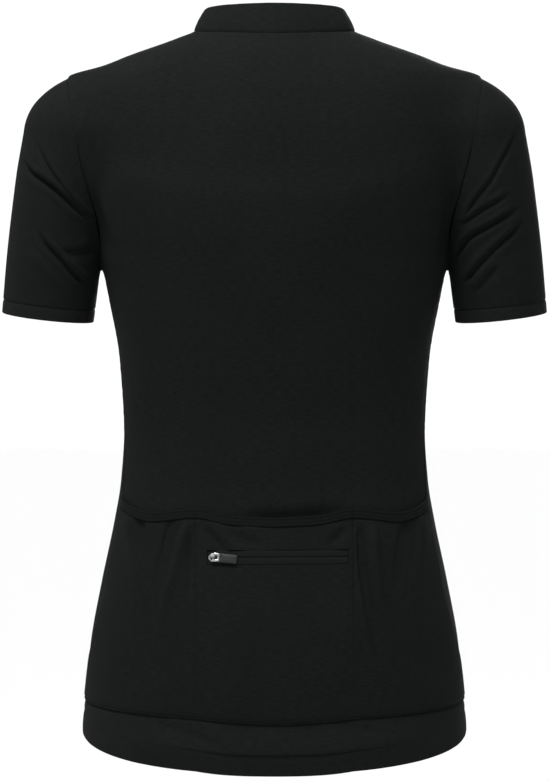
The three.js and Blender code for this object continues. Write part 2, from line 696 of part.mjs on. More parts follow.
// A slider lies on its tape: +X is the way its pull tab points, and +Z is away from the cloth.
function sliderBody() {
  const { length, width, nose, wall: depth, eye, bridge } = SLIDER;
  const half = length / 2;
  const base = new THREE.Shape();
  base.moveTo(half, width / 2);
  base.lineTo(-half + nose, width / 2);
  base.lineTo(-half, nose / 2);
  base.lineTo(-half, -nose / 2);
  base.lineTo(-half + nose, -width / 2);
  base.lineTo(half, -width / 2);
  const arch = new THREE.Shape();
  const side = eye.length / 2;
  const foot = side + bridge.wall;
  const shoulder = eye.height * bridge.shoulder;
  const crown = eye.height + bridge.wall;
  arch.moveTo(-foot, -bridge.root);
  arch.lineTo(foot, -bridge.root);
  arch.lineTo(foot, shoulder);
  arch.lineTo(foot * bridge.crown, crown);
  arch.lineTo(-foot * bridge.crown, crown);
  arch.lineTo(-foot, shoulder);
  const hole = new THREE.Path();
  hole.moveTo(-side, 0);
  hole.lineTo(-side, shoulder);
  hole.lineTo(-side * bridge.crown, eye.height);
  hole.lineTo(side * bridge.crown, eye.height);
  hole.lineTo(side, shoulder);
  hole.lineTo(side, 0);
  arch.holes.push(hole);
  const upright = plate(arch, bridge.width).translate(0, 0, -bridge.width / 2).rotateX(Math.PI / 2);
  return joined(plate(base, depth), upright.translate(0, 0, depth));
}

// A pull tab: a plate with a slot that leaves a bar at its end. The bar, on the Y axis, lies in the
// slider's eye.
function pullBody() {
  const { length, width, wall: depth, bar, slot, round } = PULL;
  const start = -bar / 2;
  const end = start + length;
  const tab = new THREE.Shape();
  tab.moveTo(start, -width / 2);
  tab.lineTo(end - round, -width / 2);
  tab.absarc(end - round, -width / 2 + round, round, -Math.PI / 2, 0);
  tab.absarc(end - round, width / 2 - round, round, 0, Math.PI / 2);
  tab.lineTo(start, width / 2);
  const hole = new THREE.Path();
  hole.moveTo(bar / 2, -slot.width / 2);
  hole.lineTo(bar / 2, slot.width / 2);
  hole.lineTo(bar / 2 + slot.length, slot.width / 2);
  hole.lineTo(bar / 2 + slot.length, -slot.width / 2);
  tab.holes.push(hole);
  return plate(tab, depth).translate(0, 0, -depth / 2);
}

// The part itself
const part = new THREE.Group();
const cloth = (color) => new THREE.MeshStandardMaterial({ color, roughness: 0.85, metalness: 0 });
const metal = (color) => new THREE.MeshStandardMaterial({ color, roughness: 0.35, metalness: 0.9 });
function add(name, geometry, material) {
  const mesh = new THREE.Mesh(geometry, material);
  mesh.name = name;
  part.add(mesh);
  return mesh;
}
const JERSEY = 0x1c1f1f;
const TRIM = 0x202322;
const SILVER = 0x9a9c9e;
const GUNMETAL = 0x34373a;

const backHalf = halfPanel(1);
const frontHalf = halfPanel(-1);

const backNormals = wholeOf(panelNormals(backHalf));
add("back", wall(wholeOf(backHalf), backNormals, CLOTH), cloth(JERSEY));
const hemBack = wholeOf(halfHem(backHalf, 1, ROWS.hemBack));
add("hem_back", wall(hemBack, normalsOf(hemBack), BAND), cloth(TRIM));

const frontNormals = panelNormals(frontHalf);
const frontHem = halfHem(frontHalf, -1, ROWS.hemFront);
const cuff = [cuffSeam, cuffEdge];
const sleeve = sleeveGrid();
const sleeveNormals = [sleeve[0].map(armholeNormal), ...normalsOf(sleeve.slice(1))];
const HANDS = [
  { hand: "left", turned: (grid) => grid, folds: SLEEVE_FOLDS },
  { hand: "right", turned: mirrorOf, folds: SLEEVE_FOLDS_RIGHT },
];
for (const { hand, turned, folds } of HANDS) {
  const addTurned = (name, grid, normals, thickness, color, options) =>
    add(`${name}_${hand}`, wall(turned(grid), turned(normals), thickness, options), cloth(color));
  addTurned("front", frontHalf, frontNormals, CLOTH, JERSEY);
  addTurned("hem_front", frontHem, normalsOf(frontHem), BAND, TRIM);
  addTurned("cuff", cuff, normalsOf(cuff), BAND, TRIM, { around: true });
  const free = (i) => (i === 0 || i === ROWS.sleeve ? 0 : 1);
  const folded = movedOut(sleeve, sleeveNormals, (i, j, p) => free(i) * liftAt(folds, p));
  addTurned("sleeve", folded, sleeveNormals, CLOTH, JERSEY, { around: true });
}

const collarHalf = halfCollar();
const collar = wholeOf(collarHalf);
add("collar", wall(collar, collarNormals(collar), COLLAR_WALL), cloth(TRIM));

const sideRows = heightsBetween(footAt, topAt, ROWS.pocket);
const middleRows = [
  ...heightsBetween(footAt, slotLow, ROWS.underSlot),
  ...heightsBetween(slotHigh, topAt, ROWS.overSlot),
];
const bindingRows = heightsBetween(topAt, (s) => topAt(s) + BINDING.height, ROWS.binding);
const POCKETS = [
  { name: "left", columns: columnsBetween(COLUMNS.neck, COLUMN_COUNT), rows: sideRows },
  { name: "middle", columns: middleColumns, rows: middleRows },
  { name: "right", columns: columnsBetween(-COLUMN_COUNT, -COLUMNS.neck), rows: sideRows },
];
for (const { name, columns, rows } of POCKETS) {
  const pocket = pocketLayer(columns, rows, POCKET_CLOTH);
  const slot = (i, j) => name === "middle" && i === ROWS.underSlot && j > 0 && j < slotColumns.length;
  const keep = (i, j) => !slot(i, j);
  add(`pocket_${name}`, wall(pocket.points, pocket.normals, POCKET_CLOTH, { keep }), cloth(JERSEY));
  const binding = pocketLayer(columns, bindingRows, BINDING.wall);
  add(`pocket_binding_${name}`, wall(binding.points, binding.normals, BINDING.wall), cloth(TRIM));
}
const tapeRows = heightsBetween(slotLow, slotHigh, 2);
const tape = pocketLayer(slotColumns, tapeRows, POCKET_CLOTH);
add("pocket_zip_tape", wall(tape.points, tape.normals, POCKET_CLOTH, { inset: SEAM_GAP }), cloth(TRIM));

// The front zip's tape fills the gap between the two fronts from the hem to the top of the collar.
const frontEdgeRows = [
  ...frontHem.slice(0, -1).map((row) => row[0]),
  ...frontHalf.slice(0, -1).map((row) => row[0]),
  ...collarHalf.map((row) => row[row.length - 1]),
];
const frontTape = frontEdgeRows.map((p) => [mirrored(p), p]);
add("front_zip_tape", wall(frontTape, normalsOf(frontTape), CLOTH), cloth(TRIM));

// Puts a slider and its pull tab on a tape. swing turns the tab in the plane of the cloth.
function addZipPull(name, at, normal, along, swing) {
  const z = normal.clone().normalize();
  const y = z.clone().cross(along).normalize();
  const x = y.clone().cross(z);
  const place = new THREE.Matrix4().makeBasis(x, y, z);
  place.setPosition(at.clone().addScaledVector(z, SEAM_GAP));
  const slider = add(`${name}_slider`, sliderBody(), metal(SILVER));
  slider.applyMatrix4(place);
  const pull = add(`${name}_pull`, pullBody(), metal(GUNMETAL));
  pull.rotation.set(0, radians(PULL.dip), radians(swing), "ZYX");
  pull.position.z = SLIDER.wall + SLIDER.axis;
  pull.applyMatrix4(place);
}
const sliderColumn = columnOf(POCKET_SLIDER_X);
const pocketSeat = pocketLayer([sliderColumn], [slotMiddle], POCKET_CLOTH);
const pocketAlong = backPoint(sliderColumn - 0.1, slotMiddle(sliderColumn - 0.1));
pocketAlong.sub(backPoint(sliderColumn, slotMiddle(sliderColumn)));
addZipPull("pocket_zip", pocketSeat.points[0][0], pocketSeat.normals[0][0], pocketAlong, -POCKET_PULL_DROOP);

const collarFront = collarHalf.map((row) => row[row.length - 1].clone().setX(0));
const down = collarFront[0].clone().sub(collarFront[ROWS.collar]).normalize();
const frontSeat = collarFront[ROWS.collar].clone().addScaledVector(down, FRONT_SLIDER_DOWN);
addZipPull("front_zip", frontSeat, down.clone().cross(vector(1, 0, 0)), down, 0);

export default part;
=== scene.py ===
# %% [markdown]
# # A black cycling jersey, filled out as it is when it is worn
#
# This lesson dresses a frame: a plain solid model of a short-sleeved cycling jersey, made elsewhere, in which
# every panel, pocket and zip part already has its true place and size. Here each of those pieces gets the
# thin cloth, folds, sewing and finish that a camera sees. Sizes are in millimetres, as on a paper pattern,
# and turn into metres only when a mesh is made. +Z is up, the back of the jersey faces +Y, and +X is the
# wearer's left.

# %% Start from the frame
import math

import bpy
import numpy as np
from mathutils import Matrix, Vector


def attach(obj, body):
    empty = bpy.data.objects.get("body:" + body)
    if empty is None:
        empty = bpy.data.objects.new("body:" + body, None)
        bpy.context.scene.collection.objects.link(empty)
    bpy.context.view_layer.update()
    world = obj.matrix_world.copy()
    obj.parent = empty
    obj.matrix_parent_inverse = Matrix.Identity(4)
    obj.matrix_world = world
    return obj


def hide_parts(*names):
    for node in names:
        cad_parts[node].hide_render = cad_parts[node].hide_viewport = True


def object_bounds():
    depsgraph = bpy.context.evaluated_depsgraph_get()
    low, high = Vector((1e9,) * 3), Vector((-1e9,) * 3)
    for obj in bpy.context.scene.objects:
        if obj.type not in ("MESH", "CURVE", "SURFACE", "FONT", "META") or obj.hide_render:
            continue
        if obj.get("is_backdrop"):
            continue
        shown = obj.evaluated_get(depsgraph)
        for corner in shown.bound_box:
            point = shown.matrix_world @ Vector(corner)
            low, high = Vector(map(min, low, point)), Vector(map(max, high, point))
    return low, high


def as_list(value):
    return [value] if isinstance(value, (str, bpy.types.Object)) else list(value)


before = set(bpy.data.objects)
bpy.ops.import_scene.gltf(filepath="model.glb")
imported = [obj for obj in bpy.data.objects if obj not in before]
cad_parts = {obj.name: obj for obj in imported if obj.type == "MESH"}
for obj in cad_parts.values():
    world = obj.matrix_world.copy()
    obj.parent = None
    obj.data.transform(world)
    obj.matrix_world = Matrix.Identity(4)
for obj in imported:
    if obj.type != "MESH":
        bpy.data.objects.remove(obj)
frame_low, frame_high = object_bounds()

MM = 0.001
print("the frame has", len(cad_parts), "pieces and is", [round(x, 3) for x in frame_high - frame_low], "m")

# %% [markdown]
# ## Tables and smooth curves
#
# A garment's form changes slowly from place to place, so a few measured rows are enough if a smooth curve
# runs through them. The curve used here never swings past a row, which a plain spline can do: that would
# show on cloth as a bulge nobody sewed.

# %% Read a table as curves
def table(names, *rows):
    """Rows of numbers, as named columns."""
    return dict(zip(names.split(), np.array(rows, float).T))


def smooth(columns, by, name):
    """A curve through one column of a table against another, with no overshoot between its rows."""
    order = np.argsort(columns[by])
    x, y = columns[by][order], columns[name][order]
    rise = np.diff(y) / np.diff(x)
    slope = np.r_[rise[0], np.zeros(len(rise) - 1), rise[-1]]
    steady = rise[:-1] * rise[1:] > 0
    slope[1:-1][steady] = 2 / (1 / rise[:-1][steady] + 1 / rise[1:][steady])

    def at(value):
        value = np.clip(value, x[0], x[-1])
        i = np.clip(np.searchsorted(x, value, side="right") - 1, 0, len(rise) - 1)
        span = x[i + 1] - x[i]
        t = (value - x[i]) / span
        s = 1 - t
        low = y[i] * (1 + 2 * t) * s * s + slope[i] * span * t * s * s
        return low + y[i + 1] * t * t * (3 - 2 * t) - slope[i + 1] * span * t * t * s

    return at


def unit(v):
    """The same direction, with length 1."""
    return v / np.maximum(np.linalg.norm(v, axis=-1, keepdims=True), 1e-9)


def ease(t):
    """From 0 to 1, soft at both ends."""
    t = np.clip(t, 0, 1)
    return t * t * (3 - 2 * t)


print("a curve at half of a step:", float(smooth(table("a b", (0, 0), (1, 2), (2, 3)), "a", "b")(0.5)))

# %% [markdown]
# ## The form that fills the cloth
#
# Nobody is in the jersey, yet it stands out as if worn, so its cloth follows a rounded form: level sections
# for the body, and a tapered tube for each arm that flows into it over the shoulder and meets it sharply at
# the armpit. Describing the form by a distance, negative inside, lets any point be settled onto the cloth,
# which a plain loft can't do where an arm leaves the body.

# %% Sizes of the body and the arms
TORSO = table(
    "z width back front square",
    (34, 63, 47, 56, 2),
    (2, 73, 54, 60, 2),
    (-6, 91, 60, 61, 2),
    (-25, 143, 74, 65, 2),
    (-43, 179, 84, 70, 2.05),
    (-60, 185, 91, 76, 2.1),
    (-95, 182, 99, 91, 2.15),
    (-140, 173, 102, 109, 2.2),
    (-185, 164, 101, 120, 2.2),
    (-214, 158, 98, 123, 2.2),
    (-246, 151.5, 93, 121, 2.25),
    (-300, 142, 84, 112, 2.3),
    (-365, 138.2, 76, 102, 2.3),
    (-411, 141, 78, 103, 2.3),
    (-448, 147, 86, 106, 2.3),
    (-503, 158.5, 101, 111, 2.3),
    (-558, 168.5, 112, 114, 2.3),
    (-610, 173.6, 116, 114, 2.3),
    (-646, 176.5, 113, 112, 2.3),
    (-680, 174, 109, 110, 2.3),
)
torso = {name: smooth(TORSO, "z", name) for name in ("width", "back", "front", "square")}

ARM = table("down width depth", (0, 39.4, 47), (45, 42.3, 50), (110, 43.4, 50), (170, 42.4, 47))
arm = {name: smooth(ARM, "down", name) for name in ("width", "depth")}
ARM_TOP, ARM_END, ARM_CAP = np.array([191, 5, -95.0]), np.array([209, -10, -262.0]), 45
arm_axis = unit(ARM_END - ARM_TOP)
arm_out = -unit(np.cross([0, 1, 0], arm_axis))
arm_back = unit(np.cross(arm_out, arm_axis))

SHOULDER_BLEND = {"z": -90, "size": 34}
ARMPIT_BLEND = {"z": -190, "size": 7}
print("chest, waist and hip half widths:", [round(float(torso["width"](z)), 1) for z in (-190, -365, -610)])

# %% Distance from the form
def torso_ratio(p):
    """1 on the body's surface, and less inside."""
    x, y, z = np.abs(p[..., 0]), p[..., 1], p[..., 2]
    n = torso["square"](z)
    depth = np.where(y > 0, torso["back"](z), torso["front"](z))
    return ((x / torso["width"](z)) ** n + (np.abs(y) / depth) ** n) ** (1 / n)


def arm_ratio(p):
    """1 on the left arm's surface, and less inside."""
    q = p - ARM_TOP
    down = q @ arm_axis
    across, away = q @ arm_out / arm["width"](down), q @ arm_back / arm["depth"](down)
    return np.sqrt(across**2 + away**2 + (np.minimum(down, 0) / ARM_CAP) ** 2)


def slope_of(value, p, step=0.05):
    """A value at some points, and which way and how fast it grows there."""
    here = value(p)
    return here, np.stack([value(p + step * axis) - here for axis in np.eye(3)], -1) / step


def distance_by(ratio, p):
    """About how far a point is from the surface where a ratio is 1."""
    here, slope = slope_of(ratio, p)
    return (here - 1) / np.maximum(np.linalg.norm(slope, axis=-1), 1e-6)


def figure(p):
    """About the distance from the form's surface, negative inside, the same on both sides of the body."""
    p = np.concatenate([np.abs(p[..., :1]), p[..., 1:]], -1)
    body, sleeve = distance_by(torso_ratio, p), distance_by(arm_ratio, p)
    high = np.clip((p[..., 2] - ARMPIT_BLEND["z"]) / (SHOULDER_BLEND["z"] - ARMPIT_BLEND["z"]), 0, 1)
    blend = ARMPIT_BLEND["size"] + (SHOULDER_BLEND["size"] - ARMPIT_BLEND["size"]) * high
    near = np.maximum(blend - np.abs(body - sleeve), 0) / blend
    return np.minimum(body, sleeve) - near * near * blend / 4


print("the middle of the waist lies", round(-float(figure(np.array([0, 0, -365.0])))), "mm inside the form")

# %% Settle points on the form
def normal_at(p):
    """Straight out from the cloth."""
    return unit(slope_of(figure, p)[1])


def settle(p, steps=6):
    """Moves points to the form's surface, the shortest way."""
    for _ in range(steps):
        away, slope = slope_of(figure, p)
        p = p - slope * (away / np.maximum((slope**2).sum(-1), 0.05))[..., None]
    return p


def way_out(start, direction):
    """Where rays from inside the form first come out."""
    start, direction = np.broadcast_arrays(start, direction)
    at = lambda t: start + direction * t[..., None]
    inside = np.zeros(start.shape[:-1])
    outside = inside.copy()
    for _ in range(60):
        away = figure(at(outside))
        within = away < 0
        if not within.any():
            break
        inside = np.where(within, outside, inside)
        outside = np.where(within, outside + np.maximum(-away, 0.6), outside)
    for _ in range(14):
        middle = (inside + outside) / 2
        within = figure(at(middle)) < 0
        inside, outside = np.where(within, middle, inside), np.where(within, outside, middle)
    return at(inside)


print("the back's depth at the hip:", round(float(way_out(np.array([0, 0, -610.0]), np.array([0, 1.0, 0]))[1]), 1))

# %% [markdown]
# ## Seams
#
# Seams are what divides the form into panels. The armhole runs from the shoulder point to the armpit, the
# neck seam carries the collar, the side seams lean towards the back over the hip, and the hem drops at the
# back so that it still covers a rider who leans forward. Each one is a function of its own turn or height,
# so that the two pieces that share a seam meet on exactly the same line.

# %% Where the seams run
ARMHOLE_MIDDLE = {"y": 2, "z": -128, "half": 85}
ARMHOLE = table(
    "z back front",
    (-214, 159.7, 159.7),
    (-206, 161.6, 161),
    (-190, 165, 163),
    (-172, 168.5, 165),
    (-143, 172.5, 168),
    (-106, 178, 172.5),
    (-75, 184, 180),
    (-43, 190, 190),
)
NECK_MIDDLE, NECK = np.array([0, -5, -60.0]), {"width": 75, "back": 60, "front": 67}
neck_height = smooth(
    table("turn z", (0, -5), (45, -3), (90, 1), (120, -14), (150, -43), (180, -60)), "turn", "z"
)
side_turn = smooth(
    table(
        "z turn", (-640, 3), (-577, 8), (-550, 14), (-507, 19), (-440, 17), (-400, 12), (-330, 5), (-214, 0)
    ),
    "z",
    "turn",
)
ARMPIT_ROW = {"side": -214, "middle": -236, "bend": 6}
HEM = {"side": -640, "back": -673, "front": -626, "bend": 2.4}
HEM_SEAM = {"side": -611, "back": -626.5, "front": -598, "bend": 1.4}
ZIP_HALF = 5
FRONT_TURN = 180 - math.degrees(math.asin(ZIP_HALF / NECK["width"]))
DIVIDE, DIVIDE_U = 70.5, 5 / 12
mouth_at = smooth(
    table("u z", (0, -444.5), (0.2, -442.5), (0.417, -436), (0.66, -440), (0.8, -436.5), (1, -426.5)), "u", "z"
)
BINDING = 8.5
armhole_x = {side: smooth(ARMHOLE, "z", name) for side, name in ((1, "back"), (-1, "front"))}
print("the hem drops", HEM["front"] - HEM["back"], "mm from front to back")

# %% Seams as lines on the form
def armhole(turn, side):
    """The armhole seam: turn is 0 at the shoulder and 180 at the armpit, side 1 behind and -1 in front."""
    turn = np.radians(turn)
    z = ARMHOLE_MIDDLE["z"] + ARMHOLE_MIDDLE["half"] * np.cos(turn)
    flat = np.zeros_like(turn)
    middle = np.stack([armhole_x[side](z), flat + ARMHOLE_MIDDLE["y"], flat + ARMHOLE_MIDDLE["z"]], -1)
    return way_out(middle, np.stack([flat, side * np.sin(turn), np.cos(turn)], -1))


def front_edge(z):
    """The edge of the left front along the zip."""
    z = np.asarray(z, float)
    start = np.stack([np.full_like(z, ZIP_HALF), np.zeros_like(z), z], -1)
    return way_out(start, np.array([0, -1.0, 0]))


def neck_seam(turn):
    """The neck seam: turn is 0 at the back, 90 at the shoulder and FRONT_TURN at the zip."""
    turn = np.asarray(turn, float)
    back = np.cos(np.radians(turn))
    depth = np.where(back > 0, NECK["back"], NECK["front"])
    aim = np.stack([NECK["width"] * np.sin(np.radians(turn)), back * depth, neck_height(turn)], -1)
    seam = way_out(NECK_MIDDLE, unit(aim - NECK_MIDDLE))
    return np.where((turn > FRONT_TURN - 0.01)[..., None], front_edge(neck_height(turn)), seam)


NECK_POINT, SHOULDER_POINT = neck_seam(90), armhole(np.array(0.0), 1)


def shoulder_seam(t):
    """The shoulder seam, from the neck at 0 to the armhole at 1."""
    straight = NECK_POINT + (SHOULDER_POINT - NECK_POINT) * np.asarray(t, float)[..., None]
    seam = way_out(straight - [0, 0, SHOULDER_BLEND["size"]], np.array([0, 0, 1.0]))
    ends = (np.asarray(t) <= 0) | (np.asarray(t) >= 1)
    return np.where(ends[..., None], straight, seam)


print("neck point", NECK_POINT.round(1), "shoulder point", SHOULDER_POINT.round(1))

# %% Columns and level lines of the body
def section(turn, z, side):
    """A point of the body's level section: turn is 0 at the side and 90 at the middle."""
    power = 2 / torso["square"](z)
    depth = np.where(side > 0, torso["back"](z), torso["front"](z))
    across = np.maximum(np.cos(np.radians(turn)), 0) ** power
    away = np.maximum(np.sin(np.radians(turn)), 0) ** power
    return np.stack([torso["width"](z) * across, side * depth * away, z], -1)


def turn_at(x, z):
    """Where the body's outline reaches x: 0 degrees at its side, 90 in the middle."""
    return np.degrees(np.arccos(np.clip(x / torso["width"](z), 0, 1) ** (torso["square"](z) / 2)))


def body_point(u, z, side):
    """The cloth at column u, 0 in the middle and 1 at the side seam, and height z."""
    u, z = np.broadcast_arrays(np.asarray(u, float), np.asarray(z, float))
    start = turn_at(0 if side > 0 else ZIP_HALF, z)
    divide, end = turn_at(DIVIDE, z), side * side_turn(z)
    inner = start + (divide - start) * u / DIVIDE_U
    outer = divide + (end - divide) * (u - DIVIDE_U) / (1 - DIVIDE_U)
    turn = np.where(u <= DIVIDE_U, inner, outer)
    facing = np.where(turn >= 0, side, 1)
    return section(np.abs(turn), z, facing)


def dip(line, u, side):
    """Height of a level line at column u."""
    middle = line["back"] if side > 0 else line["front"]
    return middle + (line["side"] - middle) * u ** line["bend"]


def pocket_top(u, side=1):
    """Where the pockets' cloth ends and their binding starts."""
    return mouth_at(u if side > 0 else np.ones_like(u)) - BINDING


print("the side seam crosses the waist at", body_point(1, -365, 1).round(1))

# %% [markdown]
# ## Grids of cloth
#
# Each panel becomes a grid of points, a few millimetres apart and closer together along its seams, where
# the cloth bends most. The lower part of a panel is level sections. The part beside the armhole has four
# curved sides, and is filled by blending its opposite sides and then settling every point on the form.

# %% Rows and columns
CELL = 3.0
BY_SEAM = np.array([0, 0.35, 0.8, 1.4, 2.2, 3.2])


def places(length, cell, low=False, high=False):
    """Places from 0 to 1 along a length in mm, a cell apart, and closer by a seam at its low or high end."""
    start = BY_SEAM if low else BY_SEAM[:1]
    end = length - (BY_SEAM if high else BY_SEAM[:1])[::-1]
    count = max(round((end[0] - start[-1]) / cell), 1)
    return np.r_[start, np.linspace(start[-1], end[0], count + 1)[1:-1], end] / length


def columns_of(cell=CELL, side=1):
    """The columns of half a panel, from its middle to the side seam, with one at the pockets' divider."""
    inner = places(DIVIDE, cell, low=side < 0) * DIVIDE_U
    outer = DIVIDE_U + (1 - DIVIDE_U) * places(112, cell, high=True)
    return np.r_[inner[:-1], outer]


print("half of the back has", len(columns_of()), "columns")

# %% Points of a front or back panel
def half_panel(side):
    """The left half of the back or front: rows from the hem seam up, columns from the middle out."""
    u = columns_of(side=side)[None, :]
    pocket, waist = places(180, CELL, low=True)[:, None], places(205, CELL + 0.2)[1:-1, None]
    armpit_row = ARMPIT_ROW["middle"] + (ARMPIT_ROW["side"] - ARMPIT_ROW["middle"]) * u ** ARMPIT_ROW["bend"]
    seam, mouth = dip(HEM_SEAM, u, side), pocket_top(u, side)
    z = np.concatenate([seam + (mouth - seam) * pocket, mouth + (armpit_row - mouth) * waist])
    lower = settle(body_point(np.broadcast_to(u, z.shape), z, side), 2)

    w = places(230, CELL, high=True)[:, None, None]
    to_neck, to_arm = u[0][u[0] <= DIVIDE_U], u[0][u[0] > DIVIDE_U]
    first = 0 if side > 0 else FRONT_TURN
    top = np.concatenate(
        [
            neck_seam(first + (90 - first) * to_neck / DIVIDE_U),
            shoulder_seam((to_arm - DIVIDE_U) / (1 - DIVIDE_U)),
        ]
    )
    low = settle(body_point(u[0], armpit_row[0], side), 2)
    low[-1] = armhole(np.array(180.0), 1)
    middle_z = ARMPIT_ROW["middle"] + (top[0, 2] - ARMPIT_ROW["middle"]) * w[:, 0, 0]
    if side > 0:
        start = np.stack([middle_z * 0, middle_z * 0, middle_z], -1)
        middle = way_out(start, np.array([0, 1.0, 0]))
    else:
        middle = front_edge(middle_z)
    rim = armhole(180 * (1 - w[:, 0, 0]), side)
    v = u[0][None, :, None]
    patch = low[None] * (1 - w) + top[None] * w + middle[:, None] * (1 - v) + rim[:, None] * v
    patch = patch - low[0] * (1 - v) * (1 - w) - low[-1] * v * (1 - w) - top[0] * (1 - v) * w - top[-1] * v * w
    upper = settle(patch)
    upper[0], upper[-1], upper[:, 0], upper[:, -1] = low, top, middle, rim
    return np.concatenate([lower, upper])


def mirrored(grid):
    """The other hand of a grid of points, with its columns the other way round."""
    return grid[:, ::-1] * [-1, 1, 1]


def whole(half):
    """Both halves of a grid whose first column is the middle line."""
    return np.concatenate([mirrored(half[:, 1:]), half], 1)


back_half, front_half = half_panel(1), half_panel(-1)
print("back", back_half.shape, "front", front_half.shape)

# %% [markdown]
# ## Folds placed one by one
#
# The body of this jersey is smooth, but each sleeve has diagonal folds that run from the outer arm down to
# the armpit, because the sleeve was cut for a raised arm. A simulation would put them anywhere, so each
# fold is drawn here as a line that a maker could chalk on the cloth, with its own depth and width. The
# cloth sinks along the line and swells a little beside it. The hidden front gets similar folds.

# %% A fold as a line with a depth
def fold(side, depth, width, swell, *points, fades=(0.3, 0.12)):
    """One fold: the side it is on (1 behind, -1 in front), its depth and width in mm, how far the cloth
    swells above it, the points (x, z) that it runs through, and the shares of it that fade out."""
    points = np.array(points, float)
    knots = np.r_[2 * points[:1] - points[1:2], points, 2 * points[-1:] - points[-2:-1]]
    path = []
    for a, b, c, d in zip(knots, knots[1:], knots[2:], knots[3:]):
        for t in np.linspace(0, 1, 9)[:-1]:
            path.append(
                (2 * b + (c - a) * t + (2 * a - 5 * b + 4 * c - d) * t**2 + (3 * b - a - 3 * c + d) * t**3) / 2
            )
    path = np.array(path + [points[-1]])
    return {"side": side, "depth": depth, "width": width, "swell": swell, "path": path, "fades": fades}


print("a fold's line has", len(fold(1, 1, 1, 0, (0, 0), (10, 5), (20, 5))["path"]), "points for two stretches")

# %% How far folds lift the cloth
def fold_lift(folds, points, normals):
    """How far the folds raise the cloth, or below 0 sink it, at each point."""
    lift = np.zeros(points.shape[:-1])
    flat = points[..., [0, 2]]
    for f in folds:
        width = f["width"]
        near = (points[..., 1] * f["side"] > 0) & (
            (flat > f["path"].min(0) - 6 * width) & (flat < f["path"].max(0) + 6 * width)
        ).all(-1)
        if not near.any():
            continue
        p = flat[near][:, None]
        a, step = f["path"][:-1], np.diff(f["path"], axis=0)
        t = np.clip(((p - a) * step).sum(-1) / (step**2).sum(-1), 0, 1)
        away = p - a - t[..., None] * step
        nearest = np.argmin((away**2).sum(-1), 1)
        rows = np.arange(len(nearest))
        along = (nearest + t[rows, nearest]) / len(step)
        upward = np.stack([-step[:, 1], step[:, 0]], -1)
        upward *= np.sign(upward[:, 1:] + 1e-9)
        gap = np.linalg.norm(away[rows, nearest], axis=-1)
        gap *= np.sign((away[rows, nearest] * upward[nearest]).sum(-1))
        ends = ease(along / f["fades"][0]) * ease((1 - along) / f["fades"][1])
        facing = np.clip(np.abs(normals[near][:, 1]) / 0.4, 0, 1)
        uneven_width = width * np.where(gap > 0, 0.6, 1.3)
        shape = -f["depth"] * np.exp(-((gap / uneven_width) ** 2))
        shape += f["swell"] * np.exp(-(((gap - 2 * width) / (1.3 * width)) ** 2))
        shape += 0.5 * f["swell"] * np.exp(-(((gap + 2.6 * width) / (1.8 * width)) ** 2))
        lift[near] += shape * ends * facing
    return lift


level = np.array([[[x, 1.0, 0.0] for x in (-3, 0, 3)]])
outward = np.broadcast_to([0, 1.0, 0], level.shape)
print("across a fold 2 mm deep:", fold_lift([fold(1, 2, 2, 0, (0, -9), (0, 9))], level, outward).round(2))

# %% The folds of the sleeves and the body
LEFT_SLEEVE_FOLDS = [
    fold(1, 2.0, 1.8, 1.0, (226, -84), (213, -111), (201.5, -132), (191.5, -145), (180, -159.5), (169, -175)),
    fold(1, 4.8, 2.3, 1.8, (233, -112), (223, -128), (213, -136), (201.5, -144), (190, -154), (172, -172)),
    fold(1, 3.2, 2.3, 1.8, (219, -178), (208, -195), (196.5, -207), (185, -220), (172, -232)),
    fold(1, 1.6, 3.6, 0.7, (197, -201), (180, -204), (165, -200)),
    fold(1, -1.6, 5.0, 0.0, (226, -196), (212, -212), (200, -228), (192, -240), fades=(0.3, 0.6)),
    fold(-1, 2.2, 2.4, 0.9, (226, -96), (213, -117), (199, -136), (184, -154), (170, -174)),
    fold(-1, 3.8, 2.5, 1.4, (226, -138), (210, -150), (196, -161), (180, -178), (166, -196)),
    fold(-1, 2.6, 2.5, 1.1, (220, -192), (208, -203), (197, -212), (186, -223), (176, -235)),
]
RIGHT_SLEEVE_FOLDS = [
    fold(1, 2.2, 1.9, 1.1, (-224, -80), (-216, -101), (-205, -122), (-195, -140), (-183.5, -154.5), (-169, -178)),
    fold(1, 2.4, 2.0, 1.4, (-217, -148), (-200, -158.5), (-187, -166), (-168, -180)),
    fold(1, 3.5, 2.2, 2.0, (-225, -160), (-213, -168.5), (-200, -176.5), (-187, -184), (-175, -192), (-162, -212)),
    fold(1, 3.2, 2.4, 1.6, (-229, -170), (-216, -185.5), (-200, -200), (-185, -216), (-172, -232)),
    fold(1, 1.4, 3.0, 0.8, (-206, -214), (-194, -226), (-184, -240)),
    fold(-1, 2.2, 2.4, 1.0, (-226, -104), (-214, -122), (-200, -140), (-186, -158), (-170, -180)),
    fold(-1, 3.4, 2.5, 1.4, (-223, -164), (-208, -177), (-196, -186), (-182, -199), (-168, -214)),
]
